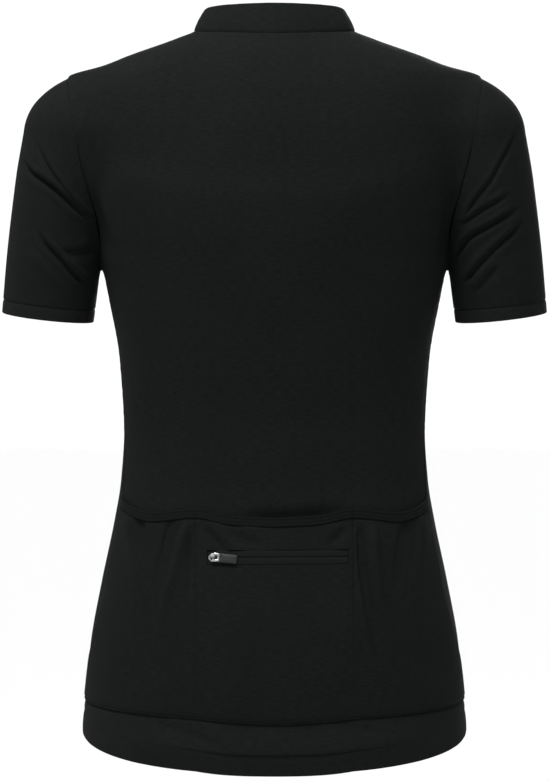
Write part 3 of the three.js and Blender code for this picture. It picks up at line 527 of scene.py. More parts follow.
BODY_FOLDS = [
    fold(1, 4.2, 8.5, 0.8, (166, -138), (161, -165), (154, -192), (146, -216), fades=(0.5, 0.4)),
    fold(1, 4.4, 8.5, 0.8, (-166, -134), (-161, -163), (-154, -190), (-145, -218), fades=(0.5, 0.4)),
    fold(
        1, -3.4, 32, 0.0, (158, -128), (120, -146), (70, -156), (0, -159), (-70, -155), (-158, -124),
        fades=(0.15, 0.15),
    ),
    fold(1, 5.0, 11.5, 0.0, (40, -442), (8, -444), (-26, -443), (-72, -437), fades=(0.4, 0.25)),
    fold(1, 1.0, 7, 0.4, (150, -206), (140, -228), (126, -246)),
    fold(1, 1.0, 8, 0.4, (-150, -204), (-138, -226), (-120, -248)),
    fold(-1, 2.2, 8, 0.6, (160, -150), (153, -172), (143, -192), (132, -208)),
    fold(-1, 2.0, 8, 0.6, (-160, -154), (-152, -176), (-141, -194), (-128, -206)),
    fold(-1, 1.0, 9, 0.4, (138, -236), (118, -250), (92, -256)),
    fold(-1, 1.0, 9, 0.4, (-136, -232), (-112, -248), (-84, -252)),
]
print(len(LEFT_SLEEVE_FOLDS + RIGHT_SLEEVE_FOLDS + BODY_FOLDS), "folds")

# %% [markdown]
# ## Seams that sink and pucker
#
# Two edges sewn together roll inward, so a seam is a narrow valley. Where cloth was eased into a curve, as
# around an armhole, short puckers stand out from it, no two alike. Both are a small lift that depends on how
# far a point is from the edge of its panel, measured along the cloth.

# %% Distances along the cloth, and seam valleys
def lengths(points, axis):
    """How far each point is from the start of its column (axis 0) or row (axis 1), along the cloth."""
    step = np.linalg.norm(np.diff(points, axis=axis), axis=-1)
    return np.insert(np.cumsum(step, axis=axis), 0, 0, axis=axis)


def along_line(values, along, at):
    """The values of a line's points, read at given distances from its start."""
    return np.stack([np.interp(at, along, values[:, k]) for k in range(values.shape[1])], -1)


def to_edge(points, edge):
    """How far each point is from the low, high, first or last edge of its grid."""
    along = lengths(points, 0 if edge in ("low", "high") else 1)
    if edge in ("low", "first"):
        return along
    return (along[-1:] if edge == "high" else along[:, -1:]) - along


def valley(away, depth=0.7, width=1.1):
    """A soft groove: how far the cloth sinks at a distance from a seam."""
    return -depth * np.exp(-((away / width) ** 2))


def uneven(s, pitch, start=0.0):
    """Waves along a length, with no two the same, from about -1 to 1."""
    s = s / pitch * 2 * math.pi + start
    return (np.sin(s) + 0.6 * np.sin(1.73 * s + 1.1) + 0.5 * np.sin(0.61 * s + 2.3)) / 1.8


def puckers(away, along, height=0.22, reach=6, pitch=7, start=0.0):
    """Small gathers beside a seam, which fade with the distance from it."""
    return height * np.exp(-((away / reach) ** 2)) * uneven(along, pitch, start)


def raised(points, normals, lift):
    """Points moved straight out of the cloth by a lift."""
    return points + normals * lift[..., None]


print("a seam 1.1 mm away sinks the cloth by", round(-float(valley(1.1)), 2), "mm")

# %% [markdown]
# ## From a grid to a thin shell
#
# Real cloth has two faces and an edge. A shell is made of the outer grid, the same grid moved inward by the
# cloth's thickness, and a rim. Free edges, such as a hem, are folded in the real garment, so both faces
# curve together there. The flat coordinates of the cloth, in metres, go into a UV map, so that the
# knit keeps its real size and runs straight down each panel.

# %% A mesh from points in mm
CLOTH = 0.8


def mesh_object(name, points, faces, uv=None, materials=(), numbers=None):
    """A mesh from points in mm. uv holds a flat place for each corner of each face, and numbers say which
    of the materials each face has."""
    mesh = bpy.data.meshes.new(name)
    faces = faces if isinstance(faces, list) else faces.tolist()
    mesh.from_pydata((np.asarray(points) * MM).tolist(), [], faces)
    mesh.polygons.foreach_set("use_smooth", np.ones(len(mesh.polygons), bool))
    if uv is not None:
        layer = mesh.uv_layers.new(name="cloth")
        layer.data.foreach_set("uv", np.asarray(uv, np.float32).ravel())
    for m in materials:
        mesh.materials.append(m)
    if numbers is not None:
        mesh.polygons.foreach_set("material_index", np.asarray(numbers, np.int32))
    mesh.update()
    obj = bpy.data.objects.new(name, mesh)
    bpy.context.scene.collection.objects.link(obj)
    return obj


def closed(points, around):
    """A grid with its first column again at its end, if it goes all round."""
    return np.concatenate([points, points[:, :1]], 1) if around else points


print("cloth is", CLOTH, "mm thick")

# %% Build a shell
def shell(name, points, normals, thickness=CLOTH, around=False, rounded=(), keep=None, flat_start=None):
    """A thin shell whose outer face goes through a grid of points. around joins the last column to the first,
    rounded names the free edges, and keep says which cells have cloth."""
    rows, columns = points.shape[:2]
    cells = columns if around else columns - 1
    roll = np.zeros((rows, columns))
    for edge in rounded:
        near = np.clip(1 - to_edge(points, edge) / (thickness / 2), 0, 1)
        roll = np.maximum(roll, thickness / 2 * (1 - np.sqrt(1 - 0.97 * near**2)))
    outer = raised(points, normals, -roll)
    inner = raised(points, normals, roll - thickness)
    corners = np.concatenate([outer.reshape(-1, 3), inner.reshape(-1, 3)])

    grid = closed(points, around)
    across, up = lengths(grid, 1), lengths(grid, 0)
    middle = across.shape[1] // 2 if flat_start is None else flat_start
    flat = np.stack([across - across[:, middle : middle + 1], up + grid[:1, :, 2]], -1) * MM

    keep = np.ones((rows - 1, cells), bool) if keep is None else keep
    i, j = np.nonzero(keep)
    at = lambda i, j: i * columns + j % columns
    ring = [(i, j), (i, j + 1), (i + 1, j + 1), (i + 1, j)]
    outside = np.stack([at(*p) for p in ring], -1)
    corner_uv = np.stack([flat[p] for p in ring], 1)
    faces, uvs = [outside, outside[:, ::-1] + rows * columns], [corner_uv, corner_uv[:, ::-1]]
    inward = [np.zeros(len(i)), np.ones(len(i))]
    for di, dj, a, b in ((-1, 0, 0, 1), (0, 1, 1, 2), (1, 0, 2, 3), (0, -1, 3, 0)):
        ni, nj = i + di, j + dj
        if around:
            nj = nj % cells
        out_of_grid = (ni < 0) | (ni >= rows - 1) | (nj < 0) | (nj >= cells)
        open_side = out_of_grid | ~keep[np.clip(ni, 0, rows - 2), np.clip(nj, 0, cells - 1)]
        p, q = (ring[a][0][open_side], ring[a][1][open_side]), (ring[b][0][open_side], ring[b][1][open_side])
        faces.append(np.stack([at(*q), at(*p), at(*p) + rows * columns, at(*q) + rows * columns], -1))
        uvs.append(np.stack([flat[q], flat[p], flat[p], flat[q]], 1))
        inward.append(np.zeros(open_side.sum()))
    faces, uvs, inward = np.concatenate(faces), np.concatenate(uvs), np.concatenate(inward)
    a, b, c = (corners[outside[len(i) // 2, k]] for k in (0, 1, 2))
    if np.cross(b - a, c - a) @ normals.reshape(-1, 3)[outside[len(i) // 2, 0]] < 0:
        faces, uvs = faces[:, ::-1], uvs[:, ::-1]
    return mesh_object(name, corners, faces, uvs, numbers=inward)


def cloth_area(points, keep=None, around=False):
    """The area of a grid of cloth, in square mm."""
    p = closed(points, around)
    across = np.cross(p[1:, 1:] - p[:-1, :-1], p[1:, :-1] - p[:-1, 1:])
    area = np.linalg.norm(across, axis=-1) / 2
    return float((area if keep is None else area * keep).sum())


print("half of the back is", round(cloth_area(back_half) / 1e4), "square cm of cloth")

# %% [markdown]
# ## Knit and other finishes
#
# The cloth is a fine polyester knit. Close up it is made of columns of small V-shaped stitches, about 0.7 mm
# wide. From a step away it is a soft black that never shines, a little lighter where it turns away because
# its fibres catch the light. So the colour is nearly black and uneven in two sizes, the gloss is very low,
# a little sheen is added, and the stitches are a bump that follows the flat coordinates of each panel.

# %% A short way to write node recipes
class Recipe:
    """A material's nodes. Values that are the same all over the surface sit on the shader's own sockets."""

    def __init__(self, name):
        self.material = bpy.data.materials.new(name)
        self.material.use_nodes = True
        self.tree = self.material.node_tree
        self.shader = self.tree.nodes["Principled BSDF"]

    def put(self, socket, value):
        """Sets a socket, or links it to the socket that gives its value."""
        if isinstance(value, bpy.types.NodeSocket):
            self.tree.links.new(value, socket)
        else:
            socket.default_value = value

    def add(self, kind, sockets, **settings):
        """A new node with its settings, and a value or a link for each socket that is given."""
        made = self.tree.nodes.new("ShaderNode" + kind)
        for name, value in settings.items():
            setattr(made, name, value)
        for socket, value in sockets.items():
            self.put(made.inputs[socket], value)
        return made

    def node(self, kind, *inputs, **settings):
        """What a new node gives, with its inputs in their own order."""
        return self.add(kind, dict(enumerate(inputs)), **settings).outputs[0]

    def math(self, operation, *inputs):
        return self.node("Math", *inputs, operation=operation)

    def wave(self, turns):
        """From -1 to 1 and back, once a turn."""
        return self.math("SINE", self.math("MULTIPLY", turns, 2 * math.pi))

    def span(self, value, low, high):
        """A value from 0 to 1, spread from low to high."""
        return self.node("MapRange", value, 0.0, 1.0, low, high)

    def place(self):
        """Where a point is on its piece, in metres."""
        return self.add("TexCoord", {}).outputs["Object"]

    def flat(self, across, up):
        """The cloth's flat coordinates, then each of the two counted in steps of so many mm."""
        both = self.add("UVMap", {}, uv_map="cloth").outputs[0]
        split = self.add("SeparateXYZ", {0: both})
        return both, *(self.math("DIVIDE", split.outputs[k], step * MM) for k, step in enumerate((across, up)))

    def noise(self, place, scale, detail=2.0):
        """A cloudy pattern; a larger scale makes it finer."""
        return self.add("TexNoise", {"Vector": place, "Scale": scale, "Detail": detail}).outputs[0]

    def blend(self, share, one, other):
        """A colour between two others."""
        return self.add("Mix", {0: share, 6: one, 7: other}, data_type="RGBA").outputs[2]

    def bump(self, height, depth, under=None):
        """A relief of so many mm, on top of the relief that is under it."""
        sockets = {"Strength": 1.0, "Distance": depth * MM, "Height": height}
        return self.add("Bump", sockets | ({} if under is None else {"Normal": under})).outputs[0]

    def set(self, **values):
        """Gives the shader its values, and returns the finished material."""
        for name, value in values.items():
            self.put(self.shader.inputs[name.replace("_", " ")], value)
        return self.material


def tones(colour, low, high):
    """A darker and a lighter tone of one colour."""
    return [(*(c * k for c in colour), 1.0) for k in (low, high)]


print("two tones of a grey:", tones((0.2, 0.2, 0.2), 0.5, 1.5))

# %% The knits
def stitch_height(r, wale, course):
    """The height of a knit's V-shaped stitches, 0 to 1, and the flat coordinates that they follow."""
    flat, u, v = r.flat(wale, course)
    leg = r.math("PINGPONG", u, 0.5)
    groove = r.node("MapRange", leg, 0.0, 0.2, 0.0, 1.0, interpolation_type="SMOOTHSTEP")
    slanted = r.math("MULTIPLY_ADD", leg, 1.3, v)
    return r.math("MULTIPLY", groove, r.math("MULTIPLY_ADD", r.wave(slanted), 0.3, 0.7)), flat


def knit(name, colour, lift=0.12, wale=0.7, course=0.55, variety=0.5, rough=0.86, sheen=0.004, crumple=0.4):
    """A knitted cloth. variety is how uneven its colour is, and lift its stitches' height in mm."""
    r = Recipe(name)
    place = r.place()
    stitches, flat = stitch_height(r, wale, course)
    broad, fine = r.noise(place, 14.0, 3.0), r.noise(place, 420.0)
    stretched = r.node("Mapping", flat, (0, 0, 0), (0, 0, 0), (150.0, 900.0, 1.0))
    streaks = r.span(r.noise(stretched, 1.0), -0.7, 1.7)
    shade = r.math("MULTIPLY_ADD", fine, 0.25, r.math("MULTIPLY", broad, 0.3))
    shade = r.math("MULTIPLY_ADD", streaks, 0.45, shade)
    # painted shade: the colour is a little darker in the grooves between the stitches
    shade = r.math("MULTIPLY_ADD", stitches, 0.15, r.math("SUBTRACT", shade, 0.08))
    return r.set(
        Base_Color=r.blend(shade, *tones(colour, 1 - variety, 1 + variety)),
        Roughness=r.span(fine, rough - 0.06, rough + 0.06),
        Specular_IOR_Level=0.015,
        Sheen_Weight=sheen,
        Sheen_Roughness=0.5,
        Normal=r.bump(stitches, lift, r.bump(r.noise(place, 30.0), crumple)),
    )


JERSEY_BLACK = (0.0043, 0.0050, 0.0048)
jersey_knit = knit("black knit", JERSEY_BLACK)
pocket_knit = knit("black pocket knit", JERSEY_BLACK)
trim_knit = knit("black hem knit", (0.0053, 0.0060, 0.0056), crumple=0.3)
collar_knit = knit("black collar knit", (0.0043, 0.0049, 0.0046), crumple=0.6)
inner_knit = knit("wrong side of the knit", (0.0060, 0.0067, 0.0065), 0.16, 0.75, 0.42, sheen=0.02)
print("knits:", [m.name for m in (jersey_knit, pocket_knit, trim_knit, collar_knit, inner_knit)])

# %% [markdown]
# ## Braid, tape, thread, nylon and metal
#
# A braid or a tape is woven in ribs, so its bump is two crossing waves. Thread and nylon only need a fine
# grain with a dull gloss. Metal is cast or painted: its grain is finer still, its colour is rubbed in
# patches, and its sharp edges are painted lighter, a painted highlight. One recipe serves each kind.

# %% Braid and tape
def ribbed(name, colour, rib, lift, rough=0.8, along=0):
    """A woven or braided band, with ribs across (along 1) or down (along 0) its flat coordinates."""
    r = Recipe(name)
    weft_step = rib * 0.6
    turns = r.flat(*((rib, weft_step) if along == 0 else (weft_step, rib)))[1:]
    ribs, weft = r.wave(turns[along]), r.wave(turns[1 - along])
    height = r.math("MULTIPLY_ADD", r.math("MULTIPLY_ADD", weft, 0.3, ribs), 0.38, 0.5)
    fine = r.noise(r.place(), 300.0)
    # painted shade: the colour is darker in the troughs between the ribs
    shade = r.math("MULTIPLY_ADD", height, 0.5, r.math("MULTIPLY", fine, 0.5))
    return r.set(
        Base_Color=r.blend(shade, *tones(colour, 0.75, 1.25)),
        Roughness=r.span(fine, rough - 0.08, rough + 0.08),
        Specular_IOR_Level=0.03,
        Sheen_Weight=0.006,
        Normal=r.bump(height, lift),
    )


binding_braid = ribbed("black elastic braid", (0.0022, 0.0027, 0.0026), 0.9, 0.1)
zip_weave = ribbed("black zip tape", (0.0036, 0.0042, 0.0041), 0.8, 0.08, along=1)
print("bands:", binding_braid.name, "and", zip_weave.name)

# %% Thread, nylon and metal
def grained(name, dark, light, rough, gloss, grain, detail=2.0, relief=0.0):
    """A plain finish with a grain: two tones, a span of roughness, and a relief in mm."""
    r = Recipe(name)
    fine = r.noise(r.place(), grain, detail)
    material = r.set(
        Base_Color=r.blend(fine, (*dark, 1.0), (*light, 1.0)),
        Roughness=r.span(fine, *rough),
        Specular_IOR_Level=gloss,
    )
    return r.set(Normal=r.bump(fine, relief)) if relief else material


def metal(name, colour, painted_edge_highlight, rough, grain=1500.0):
    """Cast or painted metal: fine grain, faint rubbing marks, and sharp edges painted lighter as a painted
    highlight.
    """
    r = Recipe(name)
    place = r.place()
    fine, marks = r.noise(place, grain, 3.0), r.noise(place, grain / 9)
    # painted highlight: sharp edges, found by their pointiness, get a lighter colour
    edge = r.node("MapRange", r.add("NewGeometry", {}).outputs["Pointiness"], 0.5, 0.62, 0.0, 1.0)
    return r.set(
        Base_Color=r.blend(edge, r.blend(marks, *tones(colour, 0.85, 1.15)), (painted_edge_highlight, painted_edge_highlight, painted_edge_highlight, 1.0)),
        Metallic=1.0,
        Roughness=r.span(fine, rough - 0.07, rough + 0.09),
        Normal=r.bump(fine, 0.015),
    )


thread = grained(
    "black thread", (0.0024, 0.0028, 0.0028), (0.006, 0.0066, 0.0066), (0.6, 0.8), 0.035, 2500.0, 1.0, 0.05
)
nylon = grained(
    "black nylon coil", (0.0026, 0.0028, 0.003), (0.0056, 0.006, 0.0062), (0.4, 0.55), 0.06, 900.0, relief=0.02
)
silver = metal("satin silver", (0.26, 0.27, 0.27), 0.5, 0.3, 1800.0)
cast_grey = metal("rough cast grey", (0.065, 0.067, 0.068), 0.3, 0.45)
# painted shade: a near-black metal for the thin sheet on the floor of the slider's hollow
hollow_shade = metal("painted shade in a hollow", (0.008, 0.008, 0.009), 0.02, 0.6)
gunmetal = metal("gunmetal", (0.017, 0.0185, 0.0192), 0.045, 0.42)
print(len(bpy.data.materials), "materials, with the frame's own")

# %% [markdown]
# ## From a shell to a finished piece
#
# Each shell rides on the jersey, stands for the solid piece it covers, and says how large its cloth is when
# it lies flat. The flat size is measured on the grid, so it can't drift away from the shape.

# %% Put a finished piece of cloth in the scene
KNITS = (jersey_knit, pocket_knit, trim_knit, collar_knit)


def finish_cloth(obj, node, outside, points, around=False, keep=None, turned_over=0, rests_on=()):
    """Gives a shell its two faces' cloth, lets it stand for its solid, and states its flat size.
    turned_over is how much more cloth, in mm, shows round a folded edge."""
    for face in (outside, inner_knit if outside in KNITS else outside):
        obj.data.materials.append(face)
    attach(obj, "jersey")
    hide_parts(node)
    grid = closed(points, around)
    width, length = lengths(grid, 1)[:, -1].max() * MM, (lengths(grid, 0)[-1].max() + turned_over) * MM
    area = cloth_area(points, keep, around) * MM * MM + width * turned_over * MM
    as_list(rests_on)
    print(obj.name, round(width / MM), "by", round(length / MM), f"mm flat, {area:.4f} m2")


print("a shell has two faces, of", [m.name for m in (jersey_knit, inner_knit)])

# %% [markdown]
# ## The back and the fronts
#
# The back is one panel from the neck and shoulders to the hem seam. The two fronts are the same below the
# armhole, but stop 5 mm short of the middle, where the zip runs. Their lower edge lies over the hem band as
# a soft step, and a row of topstitching holds the neck seam flat.

# %% Seams and soft folds of a panel
NECK_STITCH, NECK_REACH = 7.0, 76
HEM_STITCH = 2.4


def calm(points, least=0.15):
    """How much the armhole seam works the cloth: little over the shoulder, where it lies taut, fully below."""
    return least + (1 - least) * ease((-58 - points[..., 2]) / 40)


def panel_lift(points, normals, first_edge, last_edge):
    """Seam valleys along a panel's edges, the step at its hem, and the soft folds of the body."""
    high = to_edge(points, "high")
    lift = valley(high) - valley(to_edge(points, "low"), 0.7, 3.2)
    lift += valley(np.abs(to_edge(points, "low") - HEM_STITCH), 0.2, 0.7)
    for edge, kind in (("first", first_edge), ("last", last_edge)):
        away = to_edge(points, edge)
        if kind == "zip":
            lift -= valley(away, 0.3, 2.0)
        else:
            along = lengths(points, 0)
            waves = puckers(away, along, 0.2, 5, 8, 0.7 if edge == "first" else 2.1)
            lift += calm(points, 0.6) * valley(away, 0.9, 1.2)
            lift += calm(points) * (waves - valley(np.abs(away - 3.2), 0.4, 1.5))
    return lift + fold_lift(BODY_FOLDS, points, normals)


print("over the shoulder the seam works the cloth by", float(calm(np.array([0, 0, -50.0]))), "of its full depth")

# %% Back
back_points = whole(back_half)
back_normals = normal_at(back_points)
on_neck = np.abs(back_points[-1:, :, 0]) < NECK_REACH
stitch_dip = valley(np.abs(to_edge(back_points, "high") - NECK_STITCH), 0.25, 1.2) * on_neck
back_lift = panel_lift(back_points, back_normals, "seam", "seam")
back_cloth_points = raised(back_points, back_normals, back_lift + stitch_dip)
back_cloth = shell("back_cloth", back_cloth_points, back_normals, rounded=("low",))
finish_cloth(back_cloth, "back", jersey_knit, back_cloth_points)

# %% Fronts
HANDS = (("left", lambda grid: grid), ("right", mirrored))
front_cloth_points = {}
for hand, turned in HANDS:
    points = turned(front_half)
    normals = normal_at(points)
    edges = ("zip", "seam") if hand == "left" else ("seam", "zip")
    points = raised(points, normals, panel_lift(points, normals, *edges))
    front_cloth_points[hand] = (points, normals)
    start = 0 if hand == "left" else points.shape[1] - 1
    obj = shell(f"front_{hand}_cloth", points, normals, rounded=("low",), flat_start=start)
    finish_cloth(obj, f"front_{hand}", jersey_knit, points)

# %% [markdown]
# ## The hem band
#
# The hem is a turned band with elastic in it. Its upper edge sits under the panel, its lower edge is a fold,
# and at the back the top of a wide elastic tape shows as a crease about 20 mm above the fold. The elastic
# gathers the knit a little, so the band ripples, most where the tape is, and a few soft folds run slantwise
# into it from the panel. The crease is a sharp step: the cloth below it is pulled in under the cloth above.

# %% Form of a hem band
ELASTIC = 20.0
HEM_FOLDS = [
    fold(1, 1.5, 5.0, 0.9, (112, -624), (86, -632), (62, -640), (46, -648), fades=(0.3, 0.25)),
    fold(1, 0.9, 4.0, 0.6, (-62, -628), (-84, -632), (-108, -640), fades=(0.3, 0.4)),
    fold(1, -0.8, 9.0, 0.0, (34, -636), (6, -638), (-22, -637), fades=(0.35, 0.35)),
    fold(1, 0.7, 4.0, 0.3, (136, -648), (118, -654), (98, -660), fades=(0.4, 0.4)),
]


def hem_points(side):
    """The left half of a band: rows from the fold up to the elastic's top, then up to the seam."""
    u = columns_of(side=side)[None, :]
    low, high = dip(HEM, u, side), dip(HEM_SEAM, u, side)
    turned_up = places(ELASTIC, 2.2, low=True, high=True)[:-1, None]
    above = places(27 if side > 0 else 9, 2.2, low=True, high=True)[:, None]
    z = np.concatenate([low + ELASTIC * turned_up, low + ELASTIC + (high - low - ELASTIC) * above])
    return body_point(np.broadcast_to(u, z.shape), z, side)


def hem_lift(points, normals, side):
    """The seam, the flare over the elastic, the crease at its top, the folds, and the ripple it gathers."""
    low, high, along = to_edge(points, "low"), to_edge(points, "high"), lengths(points, 1)
    middle = np.exp(-((points[..., 0] / 122) ** 6)) if side > 0 else 0.3
    crease = np.exp(-(((points[..., 0] + 8) / 72) ** 4)) if side > 0 else 0.3
    flare = np.where(low > ELASTIC, ease((high - 1) / (high + low - ELASTIC)), ease(0.25 + 0.75 * low / ELASTIC))
    under = np.where(low < ELASTIC, valley(ELASTIC - low, 1.5, 5), valley(low - ELASTIC, 1.5, 0.5))
    lift = valley(high, 1.3, 1.7) + middle * (6.2 if side > 0 else 1.0) * flare
    lift += 0.5 * middle * valley(np.abs(low - ELASTIC), 1.0, 1.2)
    lift += crease * under + fold_lift(HEM_FOLDS, points, normals)
    lift += valley(np.abs(low - 1.8), 0.12, 0.8)
    ripple = np.exp(-(((low - 9) / 9) ** 2))
    return lift + 0.2 * ripple * uneven(along, 13, 0.4) + 0.12 * uneven(along, 46, 1.9)


print("the band's elastic is", ELASTIC, "mm wide, with", len(HEM_FOLDS), "folds above it")

# %% Hem bands
HEM_CLOTH = 1.5
hem_grids = {}
for name, points, side in (
    ("hem_back", whole(hem_points(1)), 1),
    ("hem_front_left", hem_points(-1), -1),
    ("hem_front_right", mirrored(hem_points(-1)), -1),
):
    normals = normal_at(points)
    points = raised(points, normals, hem_lift(points, normals, side))
    for edge in ("first", "last"):
        points = raised(points, normals, valley(to_edge(points, edge), 0.5, 1.2))
    hem_grids[name] = (points, normals)
    obj = shell(name + "_cloth", points, normals, HEM_CLOTH, rounded=("low",))
    finish_cloth(obj, name, trim_knit, points)

# %% [markdown]
# ## Sleeves and cuffs
#
# A sleeve is a tube that starts at the armhole, which stands nearly upright, and ends at the cuff, which
# lies nearly level, so its rings turn on the way. Rays from the arm's middle line find the cloth. The cuff is
# the sleeve's own end, turned in once and stitched.

# %% Lines over and under the arm
CUFF = 12
OVER_ARM = [(190, -43), (218, -62), (232, -98), (239.5, -135), (245.6, -190), (252, -256.5)]
ARMPIT = armhole(np.array(180.0), 1)
UNDER_ARM = [(ARMPIT[0], ARMPIT[2]), (163.2, -230), (167.5, -266)]


def line_through(points, places_along):
    """A smooth line through points (x, z), at shares of its length, as points with y 0."""
    points = np.array(points, float)
    knots = np.r_[2 * points[:1] - points[1:2], points, 2 * points[-1:] - points[-2:-1]]
    gaps = np.maximum(np.linalg.norm(np.diff(knots, axis=0), axis=-1), 1e-6) ** 0.5
    knot = np.r_[0, np.cumsum(gaps)]
    path = []
    for k in range(1, len(knots) - 2):
        t0, t1, t2, t3 = knot[k - 1 : k + 3]
        p0, p1, p2, p3 = knots[k - 1 : k + 3]
        for t in np.linspace(t1, t2, 41)[:-1]:
            a1 = ((t1 - t) * p0 + (t - t0) * p1) / (t1 - t0)
            a2 = ((t2 - t) * p1 + (t - t1) * p2) / (t2 - t1)
            a3 = ((t3 - t) * p2 + (t - t2) * p3) / (t3 - t2)
            b1 = ((t2 - t) * a1 + (t - t0) * a2) / (t2 - t0)
            b2 = ((t3 - t) * a2 + (t - t1) * a3) / (t3 - t1)
            path.append(((t2 - t) * b1 + (t - t1) * b2) / (t2 - t1))
    path = np.array(path + [points[-1]])
    along = lengths(path, 0)
    x, z = along_line(path, along, np.asarray(places_along) * along[-1]).T
    return np.stack([x, np.zeros_like(x), z], -1), along[-1]


print("over and under the arm:", [round(line_through(line, [1])[1]) for line in (OVER_ARM, UNDER_ARM)], "mm")

# %% Rings from the armhole to the cuff
AROUND_ARM = 250
turns = np.arange(AROUND_ARM) / AROUND_ARM * 360


def sleeve_rings(over, under, square):
    """Rings through the outer and inner line of the arm; square is 0 upright and 1 square to the arm."""
    middle = (over + under) / 2
    middle[:, 1] = ARM_TOP[1] + (ARM_END[1] - ARM_TOP[1]) * (middle[:, 2] - ARM_TOP[2]) / (ARM_END[2] - ARM_TOP[2])
    up = unit(over - under)[:, None]
    back = np.array([0, 1.0, 0]) * (1 - square[:, None]) + arm_back * square[:, None]
    turn = np.radians(turns)[None, :, None]
    ray = unit(up * np.cos(turn) + back[:, None] * np.sin(turn))
    return way_out(middle[:, None], ray)


def sleeve_half():
    """The points of the left sleeve, and of its cuff."""
    s = places(215, 1.65, low=True, high=True)
    lines = [line_through(line, s * (1 - CUFF / line_through(line, [1])[1]))[0] for line in (OVER_ARM, UNDER_ARM)]
    rings = sleeve_rings(*lines, s)
    behind, before = (armhole(np.minimum(t, 180), side) for t, side in ((turns, 1), (360 - turns, -1)))
    rings[0] = np.where((turns <= 180)[:, None], behind, before)
    rise = -CUFF * unit(arm_axis * [1, 0, 1]) * places(CUFF, 1.5, low=True, high=True)[:, None]
    ends = [line_through(line, [1])[0] + rise for line in (OVER_ARM, UNDER_ARM)]
    cuff = sleeve_rings(*ends, np.ones(len(rise)))
    rings[-1] = cuff[-1]
    return rings, cuff


sleeve_left_points, cuff_left_points = sleeve_half()
print("sleeve", sleeve_left_points.shape, "cuff", cuff_left_points.shape)

# %% Sleeves
sleeve_grids, cuff_grids = {}, {}
for (hand, turned), folds in zip(HANDS, (LEFT_SLEEVE_FOLDS, RIGHT_SLEEVE_FOLDS)):
    points = turned(sleeve_left_points)
    normals = normal_at(points)
    along, away = lengths(points, 1), lengths(points, 0)
    lift = calm(points, 0.6) * valley(away, 0.9, 1.2)
    lift += calm(points) * puckers(away, along, 0.3, 6, 7.5, 0.3 if hand == "left" else 1.6)
    lift += valley(to_edge(points, "high"), 0.6, 1.3)
    free = ease(away / 6) * ease(to_edge(points, "high") / 8)
    lift += free * fold_lift(folds, points, normals)
    points = raised(points, normals, lift)
    sleeve_grids[hand] = (points, normals)
    obj = shell(f"sleeve_{hand}_cloth", points[::-1], normals[::-1], around=True)
    finish_cloth(obj, f"sleeve_{hand}", jersey_knit, points, around=True)

    points = turned(cuff_left_points)
    normals = normal_at(points)
    high = to_edge(points, "high")
    lift = valley(high, 0.6, 1.3) + 0.15 * uneven(lengths(points, 1), 16) * ease(high / 4)
    points = raised(points, normals, lift)
    cuff_grids[hand] = (points, normals)
    obj = shell(f"cuff_{hand}_cloth", points, normals, 1.4, around=True, rounded=("low",))
    finish_cloth(obj, f"cuff_{hand}", trim_knit, points, around=True)

# %% [markdown]
# ## The collar
#
# A low stand collar: a strip folded along its top, so that edge is round and soft, and sewn to the neck
# with both layers. It leans in towards the neck and drops at the front, where the zip ends.

# %% Points of the collar
COLLAR_TOP = {"width": 64.5, "back": 47, "front": 60}
collar_height = smooth(table("turn z", (0, 23.5), (60, 22.5), (90, 20), (130, -2), (180, -33)), "turn", "z")
COLLAR_CLOTH = 2.0


def collar_half():
    """The left half of the collar's grid, from the neck seam up to its fold."""
    u = places(175, 2.0, high=True)
    turn = np.where(u < 0.5, u * 180, 90 + (FRONT_TURN - 90) * (2 * u - 1))
    turn[-1] = FRONT_TURN
    back = np.cos(np.radians(turn))
    depth = np.where(back > 0, COLLAR_TOP["back"], COLLAR_TOP["front"])
    top = np.stack([COLLAR_TOP["width"] * np.sin(np.radians(turn)), back * depth, collar_height(turn)], -1)
    top[-1, 0] = ZIP_HALF
    v = places(28, 1.8, low=True, high=True)[:, None, None]
    low = neck_seam(turn)
    return low[None] * (1 - v) + top[None] * v


def sheet_normals(points):
    """Out from a grid that doesn't lie on the form, away from the body's middle line."""
    out = unit(np.cross(np.gradient(points, axis=1), np.gradient(points, axis=0)))
    facing = np.sign((out * (points * [1, 1, 0])).sum(-1, keepdims=True).sum((0, 1)))
    return out * facing


print("the collar is", round(float(collar_height(0) - neck_height(0)), 1), "mm high behind")

# %% Collar
collar_points = whole(collar_half())
collar_normals = sheet_normals(collar_points)
low, high = to_edge(collar_points, "low"), to_edge(collar_points, "high")
along = lengths(collar_points, 1)
crown = 0.9 * np.sin(np.pi * np.clip(low / (low + high), 0, 1))
collar_lift = crown + valley(low, 0.7, 1.4) + 0.1 * uneven(along, 22, 0.8) * ease(low / 5)
collar_points = raised(collar_points, collar_normals, collar_lift)
collar_cloth = shell("collar_cloth", collar_points, collar_normals, COLLAR_CLOTH, rounded=("high",))
finish_cloth(collar_cloth, "collar", collar_knit, collar_points)

# %% [markdown]
# ## Back pockets
#
# Three open pockets cross the small of the back. They are one layer of cloth over the back, stitched to it
# along the sides, the bottom and two upright lines, and bound at the mouth with a folded elastic braid. The
# braid pulls the mouth in, so soft folds run down from it, and the middle mouth stands off the back a
# little and throws a shadow. The middle pocket has a slot for a zip.

